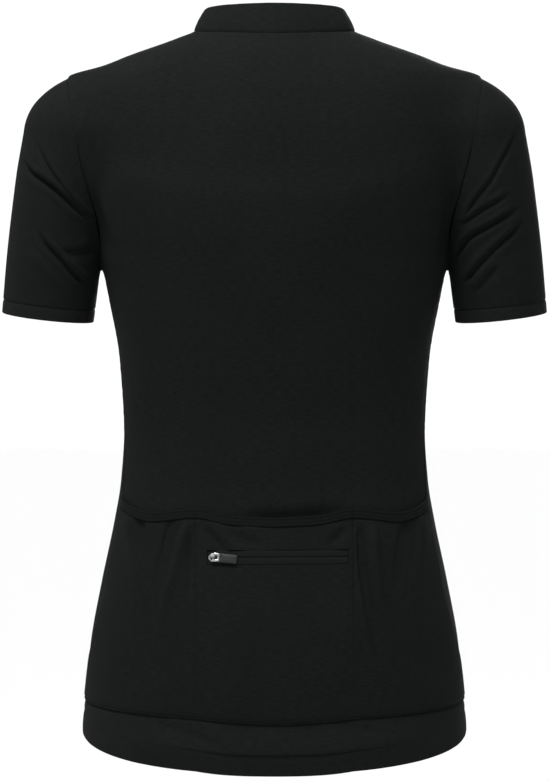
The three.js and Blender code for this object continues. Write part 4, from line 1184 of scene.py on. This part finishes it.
# %% Sizes and folds of the pockets
POCKET_CLOTH = 0.8
POCKET_OUT = 1.7
POCKET_FOOT = 1.5
GAPE = {"middle": 3.6, "middle_reach": 70, "side": 1.3, "side_reach": 55}
ZIP_SLOT = {"left": 60, "right": -66, "z": -479, "half": 6.5, "slope": 0.11}
COLUMN_COUNT = 12
POCKET_FOLDS = [
    fold(1, -2.6, 2.2, 0, (-72.5, -447), (-73.5, -480), (-77, -508), (-83, -543), (-87, -570), fades=(0.16, 0.5)),
    fold(1, 5.6, 4.0, 0.0, (-78.5, -446), (-80, -480), (-84, -508), (-90, -543), (-96, -580), fades=(0.16, 0.6)),
    fold(1, -4.4, 5.0, 0.0, (-90, -443), (-91, -480), (-96, -515), (-103, -550), fades=(0.2, 0.6)),
    fold(1, -5.2, 4.6, 0.0, (79, -442), (84, -466), (92, -495), (103, -530), (114, -575), fades=(0.2, 0.7)),
    fold(1, 2.4, 4.2, 0.0, (74, -444), (75, -470), (77, -500), (83, -545), fades=(0.2, 0.6)),
    fold(1, 4.2, 5.2, 0.0, (92, -440), (99, -472), (109, -510), fades=(0.3, 0.6)),
    fold(1, -3.8, 6.0, 0.0, (133, -436), (129, -462), (122, -494), (111, -540), fades=(0.22, 0.6)),
    fold(1, 3.4, 5.0, 0.0, (123, -438), (118, -462), (109, -492), fades=(0.3, 0.6)),
    fold(1, 3.4, 5.5, 0.0, (-119, -438), (-113, -476), (-107, -520), fades=(0.3, 0.6)),
    fold(1, -4.0, 6.0, 0.0, (-134, -438), (-131, -476), (-124, -530), fades=(0.25, 0.6)),
    fold(1, 3.0, 3.8, 1.4, (64, -449), (55, -460), (45, -472), (35, -488), fades=(0.25, 0.6)),
    fold(1, 1.6, 5.0, 0.8, (38, -455), (24, -463), (6, -470), fades=(0.35, 0.5)),
    fold(1, 2.0, 4.4, 0.9, (-64, -449), (-55, -462), (-40, -471), fades=(0.3, 0.6)),
]
print("the mouths' braid gathers", len(POCKET_FOLDS), "folds")

# %% Points of a pocket
def slot_middle(s):
    """The height of the zip, which slants a little, at column s."""
    return ZIP_SLOT["z"] - ZIP_SLOT["slope"] * s * COLUMN_COUNT


def back_point(s, z):
    """The back at column s, which is u with the sign of x."""
    return body_point(np.abs(s), z, 1) * np.stack([np.where(s < 0, -1, 1), np.ones_like(s), np.ones_like(s)], -1)


def gape(s, z):
    """How far the mouths stand off the back: widest in the middle pocket, right of its middle."""
    u = np.abs(s)
    middle = u <= DIVIDE_U + 1e-9
    across = np.where(middle, (s + DIVIDE_U) / (2 * DIVIDE_U), (u - DIVIDE_U) / (1 - DIVIDE_U))
    reach = np.where(middle, GAPE["middle_reach"], GAPE["side_reach"])
    near = np.clip(1 - (pocket_top(u) - z) / reach, 0, 1)
    across = np.clip(across, 0, 1)
    across = np.where(middle, across**0.8, across)
    return np.where(middle, GAPE["middle"], GAPE["side"]) * np.sin(np.pi * across) * near * near


def pocket_layer(s, low, high, v, out=POCKET_OUT):
    """A grid over the back between two heights, each a function of s, moved out from the back."""
    s, v = np.asarray(s)[None, :], np.asarray(v)[:, None]
    z = low(s) + (high(s) - low(s)) * v
    s = np.broadcast_to(s, z.shape)
    points = back_point(s, z)
    normals = normal_at(points)
    return raised(points, normals, out + gape(s, z)), normals


def foot(s):
    """The height of the pockets' lower edge at column s."""
    return dip(HEM_SEAM, np.abs(s), 1) + POCKET_FOOT


def top(s):
    """The height of the pockets' mouths at column s."""
    return pocket_top(np.abs(s))


def column_of(x):
    """The column that lies at x, at the zip's height."""
    z = ZIP_SLOT["z"]
    return math.copysign(DIVIDE_U * (90 - turn_at(abs(x), z)) / (90 - turn_at(DIVIDE, z)), x)


SLOT_ENDS = (column_of(ZIP_SLOT["right"]), column_of(ZIP_SLOT["left"]))
print("the zip's slot runs from column", round(SLOT_ENDS[0], 3), "to", round(SLOT_ENDS[1], 3))

# %% Columns, rows and dressing of a pocket
SIDE_TALL = 172
side_columns = DIVIDE_U + (1 - DIVIDE_U) * places(108, 2.0, low=True, high=True)
half_middle = DIVIDE_U * places(141, 2.0, low=True, high=True) * 2 - DIVIDE_U
near_ends = [end + DIVIDE_U / 71 * k for end in SLOT_ENDS for k in (-1.6, -0.8, 0, 0.8, 1.6)]
far_from_ends = np.abs(half_middle[:, None] - SLOT_ENDS).min(1) > 0.014
middle_columns = np.unique(np.r_[half_middle[far_from_ends], near_ends])
rows_side, lower_rows, upper_rows = (places(tall, 2.1, low=True, high=True) for tall in (SIDE_TALL, 137, 28))
pocket_grids = {}


def soft_wave(points, below_top):
    """A broad unevenness of the pockets' cloth, which the bound mouth holds flat."""
    return 0.25 * ease(below_top / 12) * uneven(points[..., 0] + 0.4 * points[..., 2], 70, 0.6)


def pocket_dress(points, normals):
    """Seams, puckers and folds of a pocket. Its side seams pull less towards the foot."""
    low, high = to_edge(points, "low"), to_edge(points, "high")
    lift = valley(high, 0.5, 1.0) + valley(low, 1.0, 2.0)
    tight = 0.16 + 0.84 * ease(1.5 * low / SIDE_TALL - 0.35)
    for edge in ("first", "last"):
        away = to_edge(points, edge)
        lift += tight * valley(away, 0.8, 1.3)
        lift += tight * puckers(away, lengths(points, 0), 0.3, 5, 9, len(edge))
    lift += soft_wave(points, high)
    return raised(points, normals, lift + fold_lift(POCKET_FOLDS, points, normals))


print("the middle pocket has", len(middle_columns), "columns")

# %% Side pockets
for hand, s in (("left", side_columns), ("right", -side_columns[::-1])):
    points, normals = pocket_layer(s, foot, top, rows_side)
    points = pocket_dress(points, normals)
    pocket_grids[hand] = (points, normals)
    obj = shell(f"pocket_{hand}_cloth", points, normals, POCKET_CLOTH, rounded=("low",))
    finish_cloth(obj, f"pocket_{hand}", pocket_knit, points, rests_on=["back"])

# %% Middle pocket, with the zip's slot
slot_low = lambda s: slot_middle(s) - ZIP_SLOT["half"]
slot_high = lambda s: slot_middle(s) + ZIP_SLOT["half"]
under = pocket_layer(middle_columns, foot, slot_low, lower_rows)
over = pocket_layer(middle_columns, slot_high, top, upper_rows)
points, normals = (np.concatenate([a, b]) for a, b in zip(under, over))
points = pocket_dress(points, normals)
slot_row = len(lower_rows) - 1
inside_slot = (middle_columns[:-1] >= SLOT_ENDS[0] - 1e-6) & (middle_columns[1:] <= SLOT_ENDS[1] + 1e-6)
keep = np.ones((points.shape[0] - 1, points.shape[1] - 1), bool)
keep[slot_row] = ~inside_slot
pocket_grids["middle"] = (points, normals)
pocket_middle = shell("pocket_middle_cloth", points, normals, POCKET_CLOTH, rounded=("low",), keep=keep)
finish_cloth(pocket_middle, "pocket_middle", pocket_knit, points, keep=keep, rests_on=["back"])

# %% [markdown]
# ## Bindings
#
# The mouths are bound with a flat elastic braid, folded over the edge and sewn through. A braid is thicker
# along its rims, so each binding has two raised rims, a groove beside each of them for the stitches, and a
# rounded fold above and below.

# %% Bindings
BRAID = 1.7
binding_grids = {}
for name, s in (("left", side_columns), ("middle", half_middle), ("right", -side_columns[::-1])):
    v = places(BINDING, 0.5, low=True, high=True)
    points, normals = pocket_layer(s, top, lambda s: top(s) + BINDING, v, out=POCKET_OUT + 0.5)
    low, high = to_edge(points, "low"), to_edge(points, "high")
    crown = 0.3 * np.sin(np.pi * np.clip(low / BINDING, 0, 1)) ** 0.7
    lift = crown - valley(np.abs(high - 1.0), 0.5, 0.8) - valley(np.abs(low - 1.2), 0.4, 0.6)
    lift += valley(np.abs(low - 2.2), 0.4, 0.4) + valley(np.abs(high - 2.3), 0.3, 0.5)
    for edge in ("first", "last"):
        lift += valley(to_edge(points, edge), 0.8, 1.6)
    lift += 0.08 * uneven(lengths(points, 1), 9, 1.0)
    points = raised(points, normals, lift)
    binding_grids[name] = (points, normals)
    obj = shell(f"binding_{name}_braid", points, normals, BRAID, rounded=("low", "high"))
    node, below = f"pocket_binding_{name}", ["back", f"pocket_{name}"]
    finish_cloth(obj, node, binding_braid, points, turned_over=BRAID, rests_on=below)

# %% [markdown]
# ## Zip tapes
#
# The pocket's zip is a coil zip set in wrong side out, so its coil is hidden and only two flat lips of woven
# tape show, meeting in a fine line. The long front zip shows its coil: two rows of nylon loops that
# interlock in the middle of a woven tape.

# %% Pocket zip tape
TAPE, TAPE_SUNK = 0.9, 0.55
within = (half_middle > SLOT_ENDS[0] + 0.008) & (half_middle < SLOT_ENDS[1] - 0.008)
slot_columns = np.r_[SLOT_ENDS[0], half_middle[within], SLOT_ENDS[1]]
half = ZIP_SLOT["half"]
lower_half = [0, 0.06, 0.14, 0.25, 0.36, 0.43, 0.47, 0.49]
tape_rows = np.array(lower_half + [0.5, 0.51, 0.53, 0.57, 0.64, 0.75, 0.86, 0.94, 1])
points, normals = pocket_layer(slot_columns, slot_low, slot_high, tape_rows, out=POCKET_OUT - TAPE_SUNK)
from_middle = np.abs(tape_rows - 0.5)[:, None] * 2 * half
lift = 0.55 * np.sin(np.pi * np.clip(from_middle / half, 0, 1)) ** 0.6 + valley(from_middle, 0.5, 0.5)
points = raised(points, normals, lift + 0.05 * uneven(lengths(points, 1), 11))
tape = shell("pocket_zip_tape_cloth", points, normals, TAPE)
finish_cloth(tape, "pocket_zip_tape", zip_weave, points, rests_on=["back", "pocket_middle"])

# %% [markdown]
# ## Front zip tape
#
# The front tape fills the gap between the two fronts, from the hem's fold to the top of the collar. Its line
# is the fronts' own edge, moved to the middle, so it follows every bend of theirs. It lies a little behind
# them, and its middle is raised where the coil is sewn on.

# %% Line of the front zip
front_rows = np.concatenate(
    [hem_grids["hem_front_left"][0][:-1, 0], front_cloth_points["left"][0][:-1, 0], collar_points[:, -1]]
)
edge_line = np.stack([np.full(len(front_rows), ZIP_HALF), front_rows[:, 1], front_rows[:, 2]], -1)
climb = lengths(edge_line, 0)
tape_steps = np.arange(0, climb[-1], CELL)
line = along_line(edge_line, climb, tape_steps)
line_out = unit(np.cross(unit(np.gradient(line, axis=0)), [1.0, 0, 0]))
line_out *= -np.sign(line_out[:, 1:2])
print("the front zip is", round(climb[-1]), "mm long")

# %% Front zip tape
TAPE_BEHIND, COIL_BAND = 1.1, 0.25
across = np.linspace(-1, 1, 13)
points = np.stack([line * [a, 1, 1] for a in across], 1)
normals = np.repeat(line_out[:, None], len(across), 1)
lift = np.broadcast_to(-TAPE_BEHIND + COIL_BAND * (np.abs(across) < 0.5), points.shape[:2])
points = raised(points, normals, lift)
front_tape = shell("front_zip_tape_cloth", points, normals, TAPE)
finish_cloth(front_tape, "front_zip_tape", zip_weave, points)

# %% [markdown]
# ## Stitches and coils
#
# Thread shows as rows of short, round stitches. Each row is laid at a given distance from an edge of its
# panel, along the finished cloth, and all stitches of one kind are joined into one mesh: thousands of
# separate objects would be slow and say nothing more. The zip's coil is made the same way, from bars that
# reach across the middle by turns from the left and from the right.

# %% Rows of small bars
BAR_RINGS = np.array([(-1, 0.25), (-0.72, 1), (0.72, 1), (1, 0.25)])
BAR_SIDES = 6


def bars(name, material, centres, directions, normals, length, radius, flat=0.8):
    """One mesh of many small rounded bars, each with its centre, direction and the way out of the cloth."""
    centres, directions, normals = (np.asarray(a, float) for a in (centres, directions, normals))
    across = unit(np.cross(directions, normals))
    turn = np.arange(BAR_SIDES) / BAR_SIDES * 2 * math.pi
    along = BAR_RINGS[:, 0][:, None] * length / 2
    thick = BAR_RINGS[:, 1][:, None] * radius
    shape = [np.broadcast_to(along, (4, BAR_SIDES)), thick * np.cos(turn), thick * np.sin(turn) * flat]
    points = sum(s[None, ..., None] * d[:, None, None] for s, d in zip(shape, (directions, across, normals)))
    points = (points + centres[:, None, None]).reshape(-1, 3)
    k = np.arange(BAR_SIDES)
    n = (k + 1) % BAR_SIDES
    sides = np.concatenate([np.stack([k, n, n + BAR_SIDES, k + BAR_SIDES], -1) + r * BAR_SIDES for r in range(3)])
    start = np.arange(len(centres)) * 4 * BAR_SIDES
    faces = (sides[None] + start[:, None, None]).reshape(-1, 4).tolist()
    for s in start:
        faces += [(s + k[::-1]).tolist(), (s + 3 * BAR_SIDES + k).tolist()]
    obj = mesh_object(name, points, faces, materials=[material])
    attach(obj, "jersey")
    print(name, len(centres), "pieces")
    return obj


print("a stitch is drawn with", 4 * BAR_SIDES, "points")

# %% Rows of stitches
def line_in(grid, edge, distance, start=0, end=None):
    """A line on a finished grid at a distance from one of its edges, with the way out of the cloth."""
    points, normals = grid
    if edge in ("first", "last"):
        points, normals = points.transpose(1, 0, 2), normals.transpose(1, 0, 2)
    if edge in ("high", "last"):
        points, normals = points[::-1], normals[::-1]
    away = lengths(points, 0)
    picked = range(points.shape[1])[start:end]
    place, out = (np.array([along_line(g[:, j], away[:, j], distance) for j in picked]) for g in (points, normals))
    return place, unit(out)


def stitched(lines, pitch, length, around=False):
    """Centres, directions and outward ways of stitches along lines."""
    centres, directions, outs = [], [], []
    for points, normals in lines:
        if around:
            points, normals = np.r_[points, points[:1]], np.r_[normals, normals[:1]]
        along = lengths(points, 0)
        at = np.arange(pitch / 2, along[-1], pitch)
        ahead, behind = (along_line(points, along, at + reach) for reach in (length / 2, -length / 2))
        centres.append(along_line(points, along, at))
        directions.append(unit(ahead - behind))
        outs.append(unit(along_line(normals, along, at)))
    return [np.concatenate(a) for a in (centres, directions, outs)]


def sew(name, lines, pitch=2.6, length=2.1, radius=0.2, around=False):
    """One row of stitches along each of the lines."""
    return bars(name, thread, *stitched(lines, pitch, length, around), length, radius)


back_grid = (back_cloth_points, back_normals)
print("a seam has a stitch every 2.6 mm")

# %% Stitches of the body and the sleeves
BOTH, POCKETS = ("left", "right"), ("left", "middle", "right")
neck_first = int(np.argmax(on_neck))
neck_last = back_cloth_points.shape[1] - neck_first
sew("neck_stitches", [line_in(back_grid, "high", NECK_STITCH, neck_first, neck_last)])
panels = [back_grid, *(front_cloth_points[h] for h in BOTH)]
sew("hem_seam_stitches", [line_in(grid, "low", HEM_STITCH) for grid in panels])
sew("elastic_stitches", [line_in(hem_grids["hem_back"], "low", ELASTIC - 0.2)], pitch=3.0, length=2.3)
cuff_lines = [line_in(cuff_grids[h], "high", 1.2) for h in BOTH]
cuff_lines += [line_in(sleeve_grids[h], "high", 1.6) for h in BOTH]
sew("cuff_stitches", cuff_lines, around=True)
zip_edges = [line_in(front_cloth_points[h], edge, 2.2) for h, edge in zip(BOTH, ("first", "last"))]

# %% Stitches of the pockets and the zips
FINE = {"pitch": 2.2, "length": 1.7, "radius": 0.17}
sew("pocket_stitches", [line_in(pocket_grids[name], edge, 2.0) for name in POCKETS for edge in ("first", "last")])
sew("pocket_foot_stitches", [line_in(pocket_grids[name], "low", 2.0) for name in POCKETS])
sew("binding_stitches", [line_in(binding_grids[name], "low", 2.2) for name in POCKETS], **FINE)
sew("front_zip_stitches", zip_edges)


def slot_line(offset):
    """A line above or below the pocket's zip, on the finished pocket."""
    height = slot_middle(slot_columns) + math.copysign(ZIP_SLOT["half"], offset) + offset
    points = back_point(slot_columns, height)
    normals = normal_at(points)
    lift = POCKET_OUT + gape(slot_columns, height) + fold_lift(POCKET_FOLDS, points, normals)
    lift += soft_wave(points, top(slot_columns) - height)
    return raised(points, normals, lift), normals


sew("pocket_zip_stitches", [slot_line(1.7), slot_line(-1.7)], **FINE)

# %% [markdown]
# ## Front zip coil
#
# A coil is one nylon wire wound into loops, and each loop shows as a short bar across the middle. Bars from
# the left and from the right take turns, half a step apart, so they seem to interlock.

# %% Front zip coil
COIL = {"pitch": 1.3, "length": 3.4, "offset": 0.85, "radius": 0.42, "sunk": 0.45}
coil_steps = np.arange(2, climb[-1] - 3, COIL["pitch"] / 2)
out_at_edge = along_line(line_out, tape_steps, climb)
out = unit(along_line(out_at_edge, climb, coil_steps))
side = np.where(np.arange(len(coil_steps)) % 2 == 0, 1.0, -1.0)
centre = along_line(edge_line, climb, coil_steps) * [0, 1, 1]
centre = centre + np.stack([side * COIL["offset"], side * 0, side * 0], -1) - out * COIL["sunk"]
straight_across = np.tile([1.0, 0, 0], (len(centre), 1))
bars("front_zip_coil", nylon, centre, straight_across, out, COIL["length"], COIL["radius"])

# %% [markdown]
# ## Slider and pull tab
#
# A slider is a small zinc casting: a plate with a pointed nose over the coil, and an arched bridge on it.
# The plate is hollow, and a thin near-black sheet on its floor is painted shade, so it shows a bright rim
# round a dark floor. The pull tab is stamped sheet: a bar and two arms that hook under the bridge, with a
# silver cap over them, and a flat tab to grip. All are drawn as outlines with holes and given thickness and
# a small round on every edge, which is what catches the light on real metal. Each pull turns about its own bar.

# %% Outlines and plates
SLIDER = {"length": 9, "width": 7.4, "wall": 1.5, "nose": 2.6, "axis": 1.3}
PULL = {"length": 22, "width": 7.8, "wall": 1.2, "bar": 1.2}
SEAM_GAP = 0.3


def plate(outlines, thickness, round_by):
    """Points and faces of a flat plate around z 0, from an outline and its holes, with rounded edges."""
    curve = bpy.data.curves.new("outline", "CURVE")
    curve.dimensions = "2D"
    curve.fill_mode = "BOTH"
    curve.extrude = thickness / 2 - round_by
    curve.bevel_depth = round_by
    curve.bevel_resolution = 2
    curve.offset = -round_by
    for outline in outlines:
        spline = curve.splines.new("POLY")
        spline.points.add(len(outline) - 1)
        for point, (x, y) in zip(spline.points, outline):
            point.co = (x, y, 0, 1)
        spline.use_cyclic_u = True
    obj = bpy.data.objects.new("outline", curve)
    bpy.context.scene.collection.objects.link(obj)
    bpy.context.view_layer.update()
    mesh = bpy.data.meshes.new_from_object(obj.evaluated_get(bpy.context.evaluated_depsgraph_get()))
    bpy.data.objects.remove(obj)
    bpy.data.curves.remove(curve)
    return mesh


def rounded_outline(corners, radius, steps=5):
    """A closed outline with its corners cut round, from (x, y) or (x, y, radius)."""
    result = []
    count = len(corners)
    for k in range(count):
        p = np.array(corners[k][:2], float)
        r = corners[k][2] if len(corners[k]) > 2 else radius
        a, b = (unit(np.array(corners[(k + d) % count][:2], float) - p) for d in (-1, 1))
        angle = math.acos(float(np.clip(a @ b, -1, 1)))
        cut = r / math.tan(angle / 2)
        centre = p + unit(a + b) * r / math.sin(angle / 2)
        start, end = p + a * cut - centre, p + b * cut - centre
        for t in np.linspace(0, 1, steps + 1):
            v = unit(start * (1 - t) + end * t) * r
            result.append(tuple(centre + v))
    return result


def both_sides(corners):
    """An outline that is the same on both sides of y 0, from the corners of its first half."""
    return corners + [(x, -y, r) for x, y, r in corners[::-1]]


square = rounded_outline(both_sides([(0, 1, 0.2), (2, 1, 0.2)]), 0.2)
print("a square with round corners has", len(square), "points")

# %% One object from several plates
def smooth_by_angle(obj, degrees):
    """Keeps edges sharper than an angle crisp."""
    mesh = obj.data
    mesh.update()
    sharp = mesh.attributes.get("sharp_edge") or mesh.attributes.new("sharp_edge", "BOOLEAN", "EDGE")
    faces_of = {}
    for p in mesh.polygons:
        for key in p.edge_keys:
            faces_of.setdefault(key, []).append(p.normal)
    flags = []
    for e in mesh.edges:
        n = faces_of.get(tuple(sorted(e.vertices)), [])
        flags.append(len(n) == 2 and n[0].angle(n[1], 0) > math.radians(degrees))
    sharp.data.foreach_set("value", flags)


def join_meshes(name, meshes, place, materials, body):
    """One object from several meshes in mm, each with its own local matrix and material number."""
    points, faces, start, numbers = [], [], 0, []
    for mesh, local, number in meshes:
        numbers += [number] * len(mesh.polygons)
        co = np.array([v.co for v in mesh.vertices]).reshape(-1, 3)
        local = np.array(place @ local)
        points.append(co @ local[:3, :3].T + local[:3, 3])
        faces += [[start + i for i in p.vertices] for p in mesh.polygons]
        start += len(co)
    obj = mesh_object(name, np.concatenate(points), faces, materials=materials, numbers=numbers)
    edges = obj.modifiers.new("merge", "WELD")
    edges.merge_threshold = 1e-6
    smooth_by_angle(obj, 35)
    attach(obj, body)
    return obj


def place_from(at, out, along):
    """A matrix with +Z out of the cloth and +X the way the pull tab points."""
    z = unit(np.array(out, float))
    y = unit(np.cross(z, along))
    rows = np.column_stack([np.cross(y, z), y, z, np.array(at) + z * SEAM_GAP])
    return Matrix([*rows.tolist(), [0, 0, 0, 1]])


print("a pull that points up the back has this place:", place_from((0, 0, 0), (0, 1, 0), (0, 0, 1)))

# %% Plates of a slider and of a pull tab
def slider_parts():
    """The plate, the bridge, and a thin sheet of painted shade on the floor of the plate's hollow, each with its
    place and material.
    """
    half, width, nose, rim = SLIDER["length"] / 2, SLIDER["width"] / 2, SLIDER["nose"], 1.2
    sides = both_sides([(half, width, 0.9), (-half + nose, width, 0.8), (-half, nose / 2, 0.6)])
    inner = [(half - rim, width - rim, 0.6), (-half + nose, width - rim, 0.8), (-half + 1.3, 0.8, 0.5)]
    arch = [(-3.5, -0.3, 0.2), (2.2, -0.3, 0.2), (2.2, 1.9, 0.9), (1.4, 3.5, 0.9)]
    arch += [(-2.3, 3.5, 1.2), (-3.5, 1.9, 1.2)]
    eye = [(-2.35, 0.1, 0.2), (-2.35, 1.7, 0.8), (-1.6, 2.4, 0.7), (0.7, 2.4, 0.4)]
    eye += [(1.2, 1.7, 0.5), (1.2, 0.1, 0.2)]
    body = plate([rounded_outline(sides, 0.8)], SLIDER["wall"], 0.35)
    bridge = plate([rounded_outline(arch, 1), rounded_outline(eye, 0.5)[::-1]], 2.2, 0.3)
    # painted shade: a thin near-black sheet laid on the floor of the hollow
    floor = plate([rounded_outline(both_sides(inner), 0.6)], 0.12, 0.03)
    lift = Matrix.Translation((0, 0, SLIDER["wall"] / 2))
    sunk = Matrix.Translation((0, 0, SLIDER["wall"] - 0.01))
    stand = Matrix.Translation((0, 0, SLIDER["wall"])) @ Matrix.Rotation(math.pi / 2, 4, "X")
    return [(body, lift, 0), (bridge, stand, 1), (floor, sunk, 2)]


def pull_parts():
    """The tab with its slot, the raised panel to grip, and the silver cap over the arms."""
    start, end, width = -PULL["bar"] / 2, PULL["length"] - PULL["bar"] / 2, PULL["width"] / 2
    outline = rounded_outline(both_sides([(start, -width, 1.0), (end, -width, 0.9)]), 1)
    slot = rounded_outline([(0.6, -1.75, 0.4), (0.6, 1.75, 0.4), (4.6, 1.75, 0.7), (4.6, -1.75, 0.7)], 0.5)
    grip = rounded_outline(both_sides([(7.5, -2.7, 0.8), (end - 1.3, -2.7, 0.8)]), 0.8)
    head = rounded_outline(both_sides([(start, -width, 1.0), (6.2, -width, 0.1)]), 1)
    tab = plate([outline, slot], PULL["wall"], 0.25)
    panel = plate([grip], 0.3, 0.1)
    cap = plate([head, slot], PULL["wall"] + 0.06, 0.25)
    still, raise_panel = Matrix.Identity(4), Matrix.Translation((0, 0, PULL["wall"] / 2 + 0.03))
    return [(tab, still, 0), (panel, raise_panel, 0), (cap, still, 1)]


print("a slider is", SLIDER["length"], "mm long and a pull tab", PULL["length"])

# %% A slider with its pull
PULL_TILT = 4.2


def add_zip_pull(name, at, out, along, swing, body):
    """A slider at a seat on the cloth, and its pull, swung round a little and lying on the cloth."""
    place = place_from(at, out, along)
    slider = join_meshes(f"{name}_slider_metal", slider_parts(), place, (silver, cast_grey, hollow_shade), "jersey")
    turn = Matrix.Translation((0, 0, SLIDER["wall"] + SLIDER["axis"]))
    for degrees, axis in ((swing, "Z"), (PULL_TILT, "Y")):
        turn = turn @ Matrix.Rotation(math.radians(degrees), 4, axis)
    parts = [(mesh, turn @ local, number) for mesh, local, number in pull_parts()]
    pull = join_meshes(f"{name}_pull_metal", parts, place, (gunmetal, silver), body)
    for obj, kind in ((slider, "slider"), (pull, "pull")):
        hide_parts(f"{name}_{kind}")
        points = np.array([v.co for v in obj.data.vertices]) / MM
        print(obj.name, "reaches from", points.min(0).round(1), "to", points.max(0).round(1), "mm")


# %% [markdown]
# ## Seats of the two sliders
#
# Each pull turns about a hinge that the frame fixes, so each slider has to sit where the solid one does. The
# pocket's seat is the outer face of the solid pocket, with the one broad fold that reaches it. The front
# slider sits 7 mm below the collar's top edge.

# %% The solid pocket's outer face
CAD_GAPE, CAD_REACH, CAD_FOLD = 2.4, 55, 0.9


def cad_pocket_fold(p):
    """The one broad fold of the solid pocket that reaches the slider's seat."""
    t = np.linspace(0, 1, 17)
    x = (1 - t) ** 2 * 76 + 2 * t * (1 - t) * 74 + t * t * 76
    z = (1 - t) ** 2 * -446 + 2 * t * (1 - t) * -480 + t * t * -520
    gap = np.hypot(p[0] - x, p[2] - z)
    k = int(np.argmin(gap))
    return CAD_FOLD * math.exp(-((gap[k] / 5) ** 2)) * math.sqrt(max(math.sin(math.pi * t[k]), 0))


def flat_out(s, z):
    """The seat on the solid pocket's outer face at column s and height z, and the way out of it."""
    s, z = np.array([s]), np.array([z])
    point = back_point(s, z)
    normal = normal_at(point)
    across = (s + DIVIDE_U) / (2 * DIVIDE_U)
    near = np.clip(1 - (pocket_top(np.abs(s)) - z) / CAD_REACH, 0, 1)
    lift = POCKET_OUT + CAD_GAPE * np.sin(np.pi * across) * near * near + cad_pocket_fold(point[0])
    return (point + normal * lift)[0], normal[0]


slider_s = column_of(54)
seat, seat_out = flat_out(slider_s, slot_middle(slider_s))
print("the pocket's slider sits at", seat.round(2))

# %% Sliders and pulls
ahead, here = (back_point(np.array([s]), np.array([slot_middle(s)]))[0] for s in (slider_s - 0.1, slider_s))
add_zip_pull("pocket_zip", seat, seat_out, ahead - here, -6, "pocket_pull")

collar_edge = whole(collar_half())[:, -1] * [0, 1, 1]
down = unit(collar_edge[0] - collar_edge[-1])
front_seat = collar_edge[-1] + down * 7
add_zip_pull("front_zip", front_seat, np.cross(down, [1, 0, 0]), down, 0, "front_pull")

# %% [markdown]
# ## Floor
#
# The jersey hangs in the air, held by its shoulders, so the floor lies well below it and nothing stands on
# it. A pale matte floor keeps the light that comes from below as even as a studio's white paper would.

# %% Floor
def floor_material():
    """Matt and nearly white."""
    r = Recipe("pale floor")
    place = r.place()
    fine = r.noise(place, 60.0, 3.0)
    return r.set(
        Base_Color=r.blend(fine, *tones((1.0, 1.0, 1.0), 0.93, 0.96)),
        Roughness=r.span(fine, 0.8, 0.9),
        Specular_IOR_Level=0.1,
    )


floor_size, floor_z, corners = 60.0, -1.3, 96
turn = np.arange(corners) * math.pi / (corners // 2)
rim = [(math.cos(t) * floor_size, math.sin(t) * floor_size, floor_z) for t in turn]
floor = mesh_object("floor", np.array(rim) / MM, [list(range(corners))], materials=[floor_material()])
floor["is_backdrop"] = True
print("the floor lies", round(-floor_z, 1), "m below the neck")

# %% [markdown]
# ## White surround and lights
#
# The photo shows the jersey cut out on white. A bright, even surround makes the background white and lights
# the black cloth from everywhere. A wide soft light above and behind the back adds the slow change from
# light shoulders to a darker small of the back and light hips, which shows the form. A weak one fills
# the wearer's left, and one lights the front for views from there.

# %% World and lights
scene = bpy.context.scene
world = bpy.data.worlds.new("white surround")
scene.world = world
world.use_nodes = True
surround = world.node_tree.nodes["Background"].inputs
surround["Color"].default_value = (1, 1, 1, 1)
surround["Strength"].default_value = 1.04


def soft_light(name, place, aim, size, power):
    """A rectangle of light of a size in m and a power in W, turned to face its aim."""
    data = bpy.data.lights.new(name, "AREA")
    data.shape = "RECTANGLE"
    data.size, data.size_y = size
    data.energy = power
    lamp = bpy.data.objects.new(name, data)
    lamp.location = place
    lamp.rotation_euler = (Vector(aim) - Vector(place)).to_track_quat("-Z", "Y").to_euler()
    scene.collection.objects.link(lamp)
    print(name, "is", round((Vector(aim) - Vector(place)).length, 2), "m from its aim")


soft_light("key", (0.4, 0.85, 1.45), (0, 0.1, -0.3), (0.8, 0.6), 84)
soft_light("left_fill", (2.2, 0.9, 0.1), (0, 0, -0.3), (1.0, 1.4), 9)
soft_light("front_fill", (-0.5, -2.3, 0.3), (0, -0.1, -0.3), (1.2, 1.2), 50)

# %% [markdown]
# ## Camera
#
# The photo is square on to the back, with the middle of the garment at its centre and no visible slant, so
# it was taken with a long lens from well away. The lens and the distance together give the garment its
# size in the picture.

# %% Camera
CAMERA = {"away": 3.5, "x": -0.00046, "z": -0.329, "lens": 175.4}
camera_data = bpy.data.cameras.new("camera")
camera_data.lens = CAMERA["lens"]
camera_data.sensor_width = 36
camera = bpy.data.objects.new("camera", camera_data)
camera.location = (CAMERA["x"], CAMERA["away"], CAMERA["z"])
camera.rotation_euler = (math.pi / 2, 0, math.pi)
scene.collection.objects.link(camera)
scene.camera = camera
scene.view_settings.view_transform = "Standard"
scene.view_settings.look = "None"
print("the camera is", CAMERA["away"], "m behind the wearer")

# %% [markdown]
# ## The dressed size beside the frame's
#
# The box of the dressed jersey is printed beside the frame's box.

# %% Finish
low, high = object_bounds()
boxes = {"frame": [list(frame_low), list(frame_high)], "dressed": [list(low), list(high)]}
{k: [[float(x) for x in p] for p in v] for k, v in boxes.items()}
print("dressed:", [round(x, 4) for x in (*low, *high)])
print("frame:  ", [round(x, 4) for x in (*frame_low, *frame_high)])
